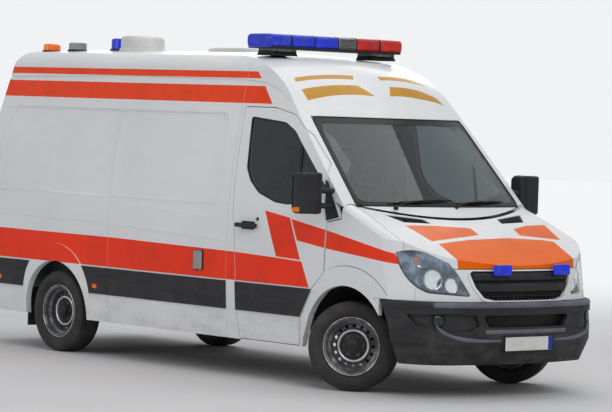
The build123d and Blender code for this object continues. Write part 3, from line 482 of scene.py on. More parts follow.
@dataclass(frozen=True)
class BodyPaint:
    """White van paint under a clear coat, with coloured bands, ripple, dust and stone chips."""

    name: str
    side_bands: bool = False
    roof_bands: bool = False
    dome_bands: bool = False
    bonnet_bands: bool = False
    white: tuple = rgb(0.93, 0.935, 0.94)
    red: tuple = rgb(1.0, 0.215, 0.02)
    high_red: tuple = rgb(1.0, 0.27, 0.03)
    orange: tuple = rgb(0.96, 0.42, 0.01)
    ochre: tuple = rgb(0.8, 0.57, 0.04)
    dust: tuple = rgb(0.56, 0.53, 0.48)
    shine: float = 0.32
    coat: float = 0.22

    def make(self, effects: Effects) -> bpy.types.Material:
        """Builds the material.

        Args:
            effects: the shared groups.

        Returns:
            The material.
        """
        s = Shading(self.name, effects)
        g = s.graph
        tint = g.noise(s.place, 0.9, 2.0)
        colour: object = g.mix(g.remap(tint, 0.3, 0.7), self.white, rgb(0.905, 0.915, 0.925))
        film: list[object] = []
        across = g.add("ShaderNodeSeparateXYZ")
        g.put(across.inputs[0], s.place)
        facing = g.add("ShaderNodeSeparateXYZ")
        g.put(facing.inputs[0], g.add("ShaderNodeTexCoord").outputs["Normal"])
        outward = g.times(facing.outputs[1], g.math("SIGN", across.outputs[1]))
        outer = g.remap(outward, 0.02, 0.06, smooth=False)
        upper = g.remap(facing.outputs[2], 0.02, 0.06, smooth=False)
        if self.side_bands:
            mask = s.any_of([s.polygon(ahead_points(band), (0, 2)) for band in SIDE_BANDS])
            film.append((g.times(mask, outer), self.red))
        if self.roof_bands:
            mask = s.any_of([s.polygon(ahead_points(band), (0, 2)) for band in ROOF_BANDS])
            flank = g.remap(g.math("ABSOLUTE", across.outputs[1]), 0.76, 0.762, smooth=False)
            film.append((g.times(g.times(mask, flank), outer), self.high_red))
        if self.dome_bands:
            mask = s.any_of([s.polygon(ahead_points(band), (0, 1)) for band in DOME_BANDS])
            film.append((g.times(mask, upper), self.ochre))
        if self.bonnet_bands:
            mask = s.any_of([s.polygon(ahead_points(band), (0, 1)) for band in BONNET_BANDS])
            film.append((g.times(mask, upper), self.orange))
        covered: object = None
        for mask, paint in film:
            fade = g.noise(s.place, 3.5, 3.0)
            shade = tuple(c * 0.86 for c in paint[:3]) + (1.0,)
            colour = g.mix(mask, colour, g.mix(g.remap(fade, 0.35, 0.75), paint, shade))
            covered = mask if covered is None else g.math("MAXIMUM", covered, mask)
        dust = s.group(effects.road_dust, Top=0.95, Amount=0.34).outputs["Mask"]
        marks = s.group(effects.scuffs).outputs["Mask"]
        tinted = dust if covered is None else g.times(dust, g.remap(covered, 0.0, 1.0, 1.0, 0.35))
        colour = g.mix(tinted, colour, self.dust)
        colour = g.mix(g.times(marks, 0.1), colour, rgb(0.42, 0.41, 0.4))
        s.set(Base_Color=colour, Roughness=g.remap(dust, 0.0, 0.4, 0.26, 0.62),
            Coat_Weight=g.remap(dust, 0.0, 0.3, self.coat, 0.0))
        s.shader.inputs["Coat Roughness"].default_value = 0.06
        s.shader.inputs["Specular IOR Level"].default_value = self.shine
        s.bump(s.group(effects.orange_peel).outputs["Height"], 0.1, 0.004)
        return s.material


@dataclass(frozen=True)
class Plastic:
    """Moulded plastic with a fine grain, sun-bleached clouds, scuffs and road dust."""

    name: str
    colour: tuple
    worn: tuple
    roughness: float = 0.55
    grain: float = 420.0
    relief: float = 0.25
    dust: float = 0.5

    def make(self, effects: Effects) -> bpy.types.Material:
        """Builds the material.

        Args:
            effects: the shared groups.

        Returns:
            The material.
        """
        s = Shading(self.name, effects)
        g = s.graph
        grain = s.group(effects.fine_grain, Scale=self.grain)
        colour = g.mix(g.remap(grain.outputs["Cloud"], 0.35, 0.72), self.colour, self.worn)
        colour = g.mix(g.times(s.group(effects.scuffs).outputs["Mask"], 0.25), colour, rgb(0.5, 0.49, 0.48))
        dust = s.group(effects.road_dust, Top=0.9, Amount=self.dust).outputs["Mask"]
        colour = g.mix(dust, colour, rgb(0.47, 0.45, 0.42))
        s.set(Base_Color=colour, Roughness=g.remap(grain.outputs["Cloud"], 0.3, 0.7, self.roughness - 0.08,
            self.roughness + 0.1))
        s.shader.inputs["Specular IOR Level"].default_value = 0.3
        s.bump(grain.outputs["Height"], self.relief, 0.0006)
        return s.material


@dataclass(frozen=True)
class Metal:
    """Bare or painted metal with cast unevenness, grime in clouds and brake dust."""

    name: str
    colour: tuple
    grime: tuple
    metallic: float = 0.9
    roughness: float = 0.38
    amount: float = 0.5

    def make(self, effects: Effects) -> bpy.types.Material:
        """Builds the material.

        Args:
            effects: the shared groups.

        Returns:
            The material.
        """
        s = Shading(self.name, effects)
        g = s.graph
        cloud = g.noise(s.place, 9.0, 5.0, 0.62)
        fine = g.noise(s.place, 130.0, 3.0)
        grime = g.times(g.remap(cloud, 0.4, 0.68), self.amount)
        s.set(Base_Color=g.mix(grime, self.colour, self.grime), Roughness=g.remap(grime, 0.0, 0.6, self.roughness,
            min(0.95, self.roughness + 0.35)), Metallic=g.remap(grime, 0.0, 0.8, self.metallic,
            self.metallic * 0.5))
        s.bump(g.math("ADD", g.times(fine, 0.4), cloud), 0.18, 0.0012)
        return s.material


@dataclass(frozen=True)
class Rubber:
    """Tyre or seal rubber, greyed by dust, with faint flow lines."""

    name: str
    colour: tuple = rgb(0.115, 0.115, 0.118)
    dusty: tuple = rgb(0.3, 0.285, 0.265)
    dust: float = 0.7

    def make(self, effects: Effects) -> bpy.types.Material:
        """Builds the material.

        Args:
            effects: the shared groups.

        Returns:
            The material.
        """
        s = Shading(self.name, effects)
        g = s.graph
        cloud = g.noise(s.place, 6.0, 5.0, 0.6)
        fine = g.noise(s.place, 260.0, 2.0)
        cover = g.times(g.remap(cloud, 0.32, 0.75), self.dust)
        s.set(Base_Color=g.mix(cover, self.colour, self.dusty), Roughness=g.remap(cloud, 0.3, 0.7, 0.68, 0.86))
        s.bump(fine, 0.3, 0.0008)
        return s.material


@dataclass(frozen=True)
class Glazing:
    """Tinted safety glass with a smeary film."""

    name: str
    tint: tuple = (0.62, 0.72, 0.7, 1.0)
    smear: float = 0.008

    def make(self, effects: Effects) -> bpy.types.Material:
        """Builds the material.

        Args:
            effects: the shared groups.

        Returns:
            The material.
        """
        s = Shading(self.name, effects)
        g = s.graph
        film = g.noise(g.stretch(s.place, (1.0, 1.0, 2.5)), 2.5, 5.0, 0.65)
        s.set(Base_Color=g.mix(g.remap(film, 0.3, 0.7), self.tint, tuple(c * 0.94 for c in self.tint[:3]) + (1.0,
            )), Roughness=g.remap(film, 0.4, 0.8, 0.0, self.smear))
        s.shader.inputs["Transmission Weight"].default_value = 1.0
        s.shader.inputs["IOR"].default_value = 1.45
        return s.material


@dataclass(frozen=True)
class Lens:
    """Coloured lamp plastic with vertical prism ribs, lit a little by its own colour."""

    name: str
    colour: tuple
    deep: tuple
    glow: float = 0.0
    ribs: float = 160.0
    transmission: float = 0.35
    rib_axis: int = 1

    def make(self, effects: Effects) -> bpy.types.Material:
        """Builds the material.

        Args:
            effects: the shared groups.

        Returns:
            The material.
        """
        s = Shading(self.name, effects)
        g = s.graph
        parts = g.add("ShaderNodeSeparateXYZ")
        g.put(parts.inputs[0], s.place)
        wave = g.math("SINE", g.times(parts.outputs[self.rib_axis], self.ribs * 2.0))
        cloud = g.noise(s.place, 14.0, 3.0)
        colour = g.mix(g.remap(wave, -1.0, 1.0, 0.15, 0.85), self.colour, self.deep)
        colour = g.mix(g.times(g.remap(cloud, 0.45, 0.8), 0.25), colour, rgb(0.5, 0.48, 0.45))
        s.set(Base_Color=colour, Roughness=g.remap(cloud, 0.3, 0.7, 0.1, 0.24))
        s.shader.inputs["Transmission Weight"].default_value = self.transmission
        if self.glow:
            s.set(Emission_Color=colour)
            s.shader.inputs["Emission Strength"].default_value = self.glow
        s.bump(wave, 0.25, 0.001)
        return s.material


@dataclass(frozen=True)
class Cloth:
    """Woven seat fabric: crossed threads, slow fading and a little lint."""

    name: str
    colour: tuple
    fleck: tuple
    threads: float = 900.0

    def make(self, effects: Effects) -> bpy.types.Material:
        """Builds the material.

        Args:
            effects: the shared groups.

        Returns:
            The material.
        """
        s = Shading(self.name, effects)
        g = s.graph
        parts = g.add("ShaderNodeSeparateXYZ")
        g.put(parts.inputs[0], s.place)
        across = g.math("SINE", g.times(g.math("ADD", parts.outputs[0], parts.outputs[2]), self.threads))
        along = g.math("SINE", g.times(g.math("SUBTRACT", parts.outputs[1], parts.outputs[2]), self.threads))
        weave = g.times(across, along)
        fleck = g.noise(s.place, 210.0, 2.0)
        colour = g.mix(g.remap(fleck, 0.52, 0.64), self.colour, self.fleck)
        colour = g.mix(g.remap(weave, -1.0, 1.0, 0.0, 0.35), colour, tuple(c * 0.5 for c in self.colour[:3]) + (1.0,
            ))
        s.set(Base_Color=colour, Roughness=g.remap(fleck, 0.3, 0.7, 0.8, 0.95))
        s.shader.inputs["Sheen Weight"].default_value = 0.25
        s.bump(weave, 0.4, 0.0006)
        return s.material


SLOTS = {
    "white_paint": "paint_plain paint_side paint_roof paint_dome paint_bonnet",
    "grey_plastic": "bumper_grey bumper_pale",
    "black_plastic": "trim_black gloss_black seal_rubber",
    "dash_plastic": "dash_grey",
    "panel_grey": "lining_grey",
    "floor_vinyl": "floor_grey",
    "white_plastic": "white_plastic socket_grey plate_white plate_blue",
    "wheel_steel": "wheel_silver rim_bright",
    "chassis_steel": "chassis_black",
    "bare_steel": "cast_iron disc_steel",
    "engine_alloy": "alloy_casting",
    "exhaust_steel": "exhaust_steel",
    "reflector": "reflector mirror_glass lamp_housing",
    "tyre": "tyre_rubber",
    "glass": "screen_glass door_glass",
    "lamp_lens": "lamp_clear",
    "blue_lens": "blue_lens",
    "red_lens": "red_lens",
    "amber_lens": "amber_lens",
    "seat_fabric": "seat_cloth seat_side",
}


class Finishes:
    """Every finish of the vehicle, built once and found by name."""

    def __init__(self) -> None:
        """Makes every material."""
        effects = Effects()
        recipes = (BodyPaint("paint_plain"), BodyPaint("paint_side", side_bands=True, shine=0.22, coat=0.14),
            BodyPaint("paint_roof", roof_bands=True, shine=0.22, coat=0.14),
            BodyPaint("paint_dome", roof_bands=True, dome_bands=True, shine=0.2, coat=0.1),
            BodyPaint("paint_bonnet", bonnet_bands=True, shine=0.1, coat=0.04),
            Plastic("bumper_grey", rgb(0.135, 0.138, 0.15), rgb(0.19, 0.193, 0.205), 0.6, 300.0, 0.3, 0.28),
            Plastic("bumper_pale", rgb(0.37, 0.385, 0.43), rgb(0.44, 0.455, 0.5), 0.45, 300.0, 0.2, 0.15),
            Plastic("trim_black", rgb(0.085, 0.086, 0.09), rgb(0.14, 0.14, 0.145), 0.5, 420.0, 0.25, 0.35),
            Plastic("gloss_black", rgb(0.05, 0.05, 0.055), rgb(0.08, 0.08, 0.085), 0.22, 500.0, 0.05, 0.15),
            Plastic("dash_grey", rgb(0.19, 0.19, 0.2), rgb(0.24, 0.24, 0.25), 0.62, 520.0, 0.35, 0.1),
            Plastic("lining_grey", rgb(0.48, 0.49, 0.51), rgb(0.55, 0.56, 0.58), 0.6, 350.0, 0.2, 0.2),
            Plastic("floor_grey", rgb(0.4, 0.41, 0.43), rgb(0.48, 0.49, 0.5), 0.65, 700.0, 0.5, 0.4),
            Plastic("white_plastic", rgb(0.88, 0.88, 0.87), rgb(0.8, 0.8, 0.78), 0.45, 380.0, 0.12, 0.3),
            Plastic("socket_grey", rgb(0.62, 0.63, 0.62), rgb(0.52, 0.53, 0.52), 0.5, 380.0, 0.15, 0.3),
            Plastic("plate_white", rgb(0.9, 0.9, 0.89), rgb(0.84, 0.84, 0.82), 0.35, 600.0, 0.05, 0.2),
            Plastic("plate_blue", rgb(0.08, 0.2, 0.62), rgb(0.1, 0.24, 0.6), 0.35, 600.0, 0.05, 0.2),
            # The rims' silver is darkened, with heavy grime on top: painted shade for the recessed disc, against
            # the same silver lit on the raised ring and lip.
            Metal("wheel_silver", rgb(0.46, 0.465, 0.48), rgb(0.22, 0.2, 0.18), 0.75, 0.4, 0.8),
            Metal("chassis_black", rgb(0.11, 0.11, 0.115), rgb(0.24, 0.21, 0.18), 0.25, 0.6, 0.8),
            Metal("cast_iron", rgb(0.34, 0.33, 0.32), rgb(0.36, 0.25, 0.18), 0.8, 0.5, 0.7),
            Metal("alloy_casting", rgb(0.62, 0.62, 0.61), rgb(0.3, 0.28, 0.25), 0.85, 0.42, 0.6),
            Metal("exhaust_steel", rgb(0.5, 0.47, 0.43), rgb(0.38, 0.26, 0.18), 0.9, 0.45, 0.7),
            Metal("disc_steel", rgb(0.62, 0.61, 0.6), rgb(0.42, 0.28, 0.18), 0.95, 0.3, 0.35),
            Metal("lamp_housing", rgb(0.6, 0.66, 0.74), rgb(0.34, 0.38, 0.44), 0.8, 0.22, 0.8),
            Metal("reflector", rgb(0.92, 0.92, 0.93), rgb(0.75, 0.75, 0.76), 1.0, 0.08, 0.2),
            Metal("mirror_glass", rgb(0.86, 0.88, 0.9), rgb(0.7, 0.72, 0.74), 1.0, 0.03, 0.15),
            # Bright metal for bezels, dials and posts; on the wheels it is the rims' silver as painted highlight.
            Metal("rim_bright", rgb(0.83, 0.83, 0.84), rgb(0.45, 0.43, 0.4), 0.8, 0.25, 0.5),
            Rubber("tyre_rubber"), Rubber("seal_rubber", rgb(0.07, 0.07, 0.072), rgb(0.17, 0.165, 0.16), 0.35),
            # The windscreen's and doors' glass take a tint far darker than real glass: painted shade for the space
            # behind it.
            Glazing("screen_glass", (0.27, 0.32, 0.32, 1.0)), Glazing("door_glass", (0.24, 0.28, 0.3, 1.0)),
            Glazing("lamp_clear", (0.93, 0.96, 0.97, 1.0), 0.01),
            Lens("blue_lens", rgb(0.05, 0.22, 0.88), rgb(0.02, 0.1, 0.6), 0.35),
            Lens("red_lens", rgb(0.88, 0.07, 0.06), rgb(0.55, 0.02, 0.03), 0.25),
            Lens("amber_lens", rgb(0.97, 0.5, 0.05), rgb(0.8, 0.3, 0.02), 0.25),
            Cloth("seat_cloth", rgb(0.2, 0.21, 0.25), rgb(0.36, 0.39, 0.47)),
            Cloth("seat_side", rgb(0.11, 0.115, 0.125), rgb(0.16, 0.165, 0.175), 1100.0),)
        self._made = {recipe.name: recipe.make(effects) for recipe in recipes}
        self._slots = {name: slot for slot, names in SLOTS.items() for name in names.split()}

    def slot(self, name: str) -> str:
        """The record's slot that a finish belongs to."""
        return self._slots[name]

    def coat(self, obj: bpy.types.Object, name: str) -> None:
        """Gives obj one finish all over."""
        obj.data.materials.clear()
        obj.data.materials.append(self._made[name])


# ---------------------------------------------------------------- mesh tools


def frame_of(axis: Point, up: Point = (0.0, 0.0, 1.0)) -> Matrix:
    """Rotation whose Z column runs along axis.

    Args:
        axis: direction that becomes Z.
        up: guide for the other two axes.

    Returns:
        The rotation.
    """
    z = Vector(axis).normalized()
    guide = Vector(up)
    if abs(z.dot(guide)) > 0.95:
        guide = Vector((1.0, 0.0, 0.0))
    x = guide.cross(z).normalized()
    return Matrix((x, z.cross(x), z)).transposed()


class Form:
    """A mesh under construction, made of prisms, lathed shapes, tubes and plates."""

    def __init__(self) -> None:
        """Starts with nothing."""
        self.bm = bmesh.new()

    def faces(self, points: Sequence[Point], polygons: Sequence[Sequence[int]]) -> "Form":
        """Adds points and the faces between them.

        Args:
            points: the new points.
            polygons: for each face, the numbers of its points.

        Returns:
            This form.
        """
        verts = [self.bm.verts.new(p) for p in points]
        for polygon in polygons:
            self.bm.faces.new([verts[i] for i in polygon])
        return self

    def rings(self, rings: Sequence[Sequence[Point]], closed: bool = True, caps: bool = True,
            loop: bool = False) -> "Form":
        """Skins a series of rings that have the same number of points.

        Args:
            rings: the rings in order.
            closed: whether each ring closes on itself.
            caps: whether the first and last rings are filled.
            loop: whether the last ring joins the first.

        Returns:
            The form itself.
        """
        grid = [[self.bm.verts.new(p) for p in ring] for ring in rings]
        count = len(grid[0])
        pairs = list(zip(grid, grid[1:]))
        if loop:
            pairs.append((grid[-1], grid[0]))
        for low, high in pairs:
            for i in range(count if closed else count - 1):
                j = (i + 1) % count
                self.bm.faces.new((low[i], low[j], high[j], high[i]))
        if caps and not loop:
            self.bm.faces.new(list(reversed(grid[0])))
            self.bm.faces.new(grid[-1])
        return self

    def block(self, low: Point, high: Point, turn: Matrix | None = None, centre: Point | None = None) -> "Form":
        """A box between two corners, turned about centre if a rotation is given.

        Args:
            low: lowest corner.
            high: highest corner.
            turn: rotation.
            centre: what it turns about, or None for the middle.

        Returns:
            This form.
        """
        points = [Vector((x, y, z)) for x in (low[0], high[0]) for y in (low[1], high[1])
            for z in (low[2], high[2])]
        if turn is not None:
            pivot = Vector(centre) if centre is not None else (Vector(low) + Vector(high)) / 2
            points = [pivot + turn @ (p - pivot) for p in points]
        return self.faces(points, [(0, 1, 3, 2), (4, 6, 7, 5), (0, 4, 5, 1), (2, 3, 7, 6), (0, 2, 6, 4),
            (1, 5, 7, 3)])

    def prism(self, outline: Sequence[Point], shift: Point) -> "Form":
        """A flat outline pushed along shift."""
        push = Vector(shift)
        return self.rings([outline, [Vector(p) + push for p in outline]])

    def lathe(self, profile: Sequence[tuple[float, float]], centre: Point, axis: Point, steps: int = 48,
            loop: bool = False) -> "Form":
        """Turns (radius, distance along the axis) points about an axis through centre.

        Args:
            profile: radius and distance along the axis of each point.
            centre: a point on the axis.
            axis: the axis' direction.
            steps: sides of each circle.
            loop: joins the profile's end to its start.

        Returns:
            This form.
        """
        turn = frame_of(axis)
        middle = Vector(centre)
        rings = []
        for radius, along in profile:
            rings.append([middle + turn @ Vector((radius * math.cos(a), radius * math.sin(a), along))
                for a in turns(steps)])
        return self.rings(rings, caps=not loop, loop=loop)

    def tube(self, path: Sequence[Point], radius: float, sides: int = 10, closed: bool = False) -> "Form":
        """A round tube that follows a path of points.

        Args:
            path: points along its middle.
            radius: its radius.
            sides: sides of its section.
            closed: joins its end to its start.

        Returns:
            This form.
        """
        points = [Vector(p) for p in path]
        guide = None
        rings = []
        for i, point in enumerate(points):
            before = points[i - 1] if i or closed else point
            after = points[(i + 1) % len(points)] if i + 1 < len(points) or closed else point
            along = (after - before).normalized()
            if guide is None:
                guide = frame_of(along).col[0].copy()
            guide = (guide - along * guide.dot(along)).normalized()
            other = along.cross(guide)
            rings.append([point + radius * (math.cos(a) * guide + math.sin(a) * other) for a in turns(sides)])
        return self.rings(rings, caps=not closed, loop=closed)


def in_outline(spot: Point, loop: Sequence[Point]) -> bool:
    """Whether a flat point lies inside a closed outline.

    Args:
        spot: the point.
        loop: the outline.

    Returns:
        True inside.
    """
    inside = False
    for (ax, ay), (bx, by) in zip(loop, list(loop[1:]) + [loop[0]]):
        if (ay > spot[1]) != (by > spot[1]) and spot[0] < (bx - ax) * (spot[1] - ay) / (by - ay) + ax:
            inside = not inside
    return inside


def rounded(points: Sequence[Point], radius: float, steps: int = 5) -> list[tuple[float, float]]:
    """A flat closed outline with its corners rounded.

    Args:
        points: the corners in order.
        radius: distance from a corner at which its rounding starts.
        steps: points along each rounded corner.

    Returns:
        The new outline.
    """
    out: list[tuple[float, float]] = []
    for i, corner in enumerate(points):
        c = Vector(corner)
        a, b = Vector(points[i - 1]) - c, Vector(points[(i + 1) % len(points)]) - c
        start = c + a.normalized() * min(radius, a.length * 0.45)
        end = c + b.normalized() * min(radius, b.length * 0.45)
        for k in range(steps + 1):
            t = k / steps
            out.append(tuple(start.lerp(c, t).lerp(c.lerp(end, t), t)))
    return out


def turns(count: int) -> list[float]:
    """Angles that part a circle evenly."""
    return [2 * math.pi * k / count for k in range(count)]


def oblong(x0: float, y0: float, x1: float, y1: float, radius: float, steps: int = 5) -> list[tuple[float, float]]:
    """A rectangle between two corners, with its corners rounded."""
    return rounded([(x0, y0), (x1, y0), (x1, y1), (x0, y1)], radius, steps)


def shrunk(points: Sequence[Point], amount: float) -> list[Vector]:
    """A flat outline drawn in by amount along the bisector of each corner.

    Args:
        points: the outline.
        amount: how far it is drawn in.

    Returns:
        The smaller outline.
    """
    area = sum(a[0] * b[1] - b[0] * a[1] for a, b in zip(points, list(points[1:]) + [points[0]]))
    turn = 1.0 if area > 0 else -1.0
    out = []
    for i, corner in enumerate(points):
        c = Vector(corner)
        a, b = (c - Vector(points[i - 1])).normalized(), (Vector(points[(i + 1) % len(points)]) - c).normalized()
        side = Vector((-a.y - b.y, a.x + b.x)) * turn
        scale = amount / max(0.35, side.length / 2) if side.length > 1e-6 else 0.0
        out.append(c + side.normalized() * scale if scale else c)
    return out


def smooth_path(points: Sequence[Point], steps: int = 6) -> list[Vector]:
    """Points of a smooth curve through the given ones.

    Args:
        points: what the curve runs through.
        steps: points for each stretch.

    Returns:
        The curve's points.
    """
    given = [Vector(p) for p in points]
    out: list[Vector] = []
    for i in range(len(given) - 1):
        a, b = given[max(i - 1, 0)], given[i]
        c, d = given[i + 1], given[min(i + 2, len(given) - 1)]
        for k in range(steps):
            t = k / steps
            out.append(0.5 * (2 * b + (c - a) * t + (2 * a - 5 * b + 4 * c - d) * t * t + (3 * b - a - 3 * c + d)
                * t ** 3))
    out.append(given[-1])
    return out


class Skin:
    """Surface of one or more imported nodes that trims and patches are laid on."""

    def __init__(self, frame: dict, *names: str) -> None:
        """Joins the nodes' surfaces.

        Args:
            frame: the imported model.
            names: its nodes.
        """
        points: list[Vector] = []
        polygons: list[list[int]] = []
        for name in names:
            mesh = frame["nodes"][name].data
            start = len(points)
            points += [v.co.copy() for v in mesh.vertices]
            polygons += [[start + i for i in polygon.vertices] for polygon in mesh.polygons]
        self.tree = BVHTree.FromPolygons(points, polygons)

    def hit(self, point: Point, towards: Point) -> tuple[Vector, Vector] | None:
        """Where a ray meets the surface, and the surface's outward normal there.

        Args:
            point: where the ray starts.
            towards: its direction.

        Returns:
            Place and normal, or None.
        """
        direction = Vector(towards).normalized()
        place, normal, _, _ = self.tree.ray_cast(Vector(point), direction)
        if place is None:
            return None
        return place, (-normal if normal.dot(direction) > 0 else normal)

    def trace(self, points: Iterable[Point], towards: Point, lift: float) -> list[Vector]:
        """Where rays from points meet the surface, raised a little.

        Args:
            points: where the rays start.
            towards: their direction.
            lift: how far the result stands off the surface.

        Returns:
            Places for the rays that meet it.
        """
        met = (self.hit(point, towards) for point in points)
        return [place + normal * lift for place, normal in filter(None, met)]

    def patch(self, outline: Sequence[Point], towards: Point, lift: float, thick: float, step: float = 0.05,
            hole: Sequence[Point] | None = None) -> Form:
        """A thin plate that follows the surface inside an outline.

        Args:
            outline: corners in space, somewhere in front of the surface.
            towards: direction that the outline is projected along.
            lift: how far the plate's back is from the surface.
            thick: the plate's thickness.
            step: longest edge inside the plate.
            hole: corners of an opening in it.

        Returns:
            The plate's form.
        """
        turn = frame_of(towards)
        back = turn.transposed()
        flat: list[Vector] = []
        edges: list[tuple[int, int]] = []
        depth = min((back @ Vector(p)).z for p in outline)
        for loop in [outline] + ([hole] if hole else []):
            first = len(flat)
            local = [(back @ Vector(p)).xy for p in loop]
            for i, a in enumerate(local):
                b = local[(i + 1) % len(local)]
                count = max(1, math.ceil((b - a).length / step))
                flat += [a + (b - a) * k / count for k in range(count)]
            edges += [(i, i + 1) for i in range(first, len(flat) - 1)] + [(len(flat) - 1, first)]
        ring = len(flat)
        low = Vector((min(p.x for p in flat), min(p.y for p in flat)))
        high = Vector((max(p.x for p in flat), max(p.y for p in flat)))
        for i in range(1, int((high.x - low.x) / step) + 1):
            for j in range(1, int((high.y - low.y) / step) + 1):
                spot = Vector((low.x + i * step, low.y + j * step))
                if all((spot - flat[k]).length > step * 0.45 for k in range(ring)):
                    flat.append(spot)
        found = geometry.delaunay_2d_cdt(flat, edges, [], 1, 1e-6)
        points, faces = found[0], found[2]
        if hole:
            gap = [(back @ Vector(p)).xy for p in hole]
            faces = [f for f in faces if not in_outline(sum((points[i] for i in f), Vector((0, 0))) / len(f), gap)]
        outer, inner = [], []
        met_at = [self.hit(turn @ Vector((p.x, p.y, depth - 0.5)), towards) for p in points]
        landed = [(p, met) for p, met in zip(points, met_at) if met]
        for p, met in zip(points, met_at):
            if met is None:
                near = min(landed, key=lambda pair: (pair[0] - p).length)[1]
                met = (turn @ Vector((p.x, p.y, (back @ near[0]).z)), near[1])
            inner.append(met[0] + met[1] * lift)
            outer.append(met[0] + met[1] * (lift + thick))
        form = Form()
        tops, lows = [[form.bm.verts.new(p) for p in layer] for layer in (outer, inner)]
        seen: dict[tuple[int, int], int] = {}
        for face in faces:
            form.bm.faces.new([tops[i] for i in face])
            form.bm.faces.new([lows[i] for i in reversed(face)])
            for i, j in zip(face, list(face[1:]) + [face[0]]):
                seen[(i, j)] = 1
        for i, j in seen:
            if (j, i) not in seen:
                form.bm.faces.new((tops[j], tops[i], lows[i], lows[j]))
        return form


@dataclass
class Assembly:
    """What every sub-assembly has at hand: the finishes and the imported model."""

    finishes: Finishes
    frame: dict

    def skin(self, *names: str) -> Skin:
        """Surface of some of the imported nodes."""
        return Skin(self.frame, *names)

    def add(self, form: Form, name: str, finish: str, body: str = "body", bevel: float = 0.0,
            angle: float = 35.0) -> None:
        """Turns a form into a piece that rides on a body.

        Args:
            form: the piece's shape, used up here.
            name: the piece's name.
            finish: name of its finish.
            body: the body that it rides on.
            bevel: width of its rounded edges.
            angle: the sharpest bend, in degrees, that is shaded smooth.
        """
        bmesh.ops.recalc_face_normals(form.bm, faces=form.bm.faces)
        mesh = bpy.data.meshes.new(name)
        form.bm.to_mesh(mesh)
        form.bm.free()
        for polygon in mesh.polygons:
            polygon.use_smooth = True
        mesh.set_sharp_from_angle(angle=math.radians(angle))
        obj = bpy.data.objects.new(name, mesh)
        bpy.context.scene.collection.objects.link(obj)
        self.finishes.coat(obj, finish)
        if bevel:
            edge = obj.modifiers.new("edge", "BEVEL")
            edge.width, edge.segments, edge.limit_method = bevel, 2, "ANGLE"
            edge.angle_limit = math.radians(BEVEL_ANGLE)
            edge.harden_normals = True
        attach(obj, body)
        self.finishes.slot(finish)
        LOG.info("%s: %d faces on %s", name, len(mesh.polygons), body)


# ---------------------------------------------------------------- studio and carried-over nodes


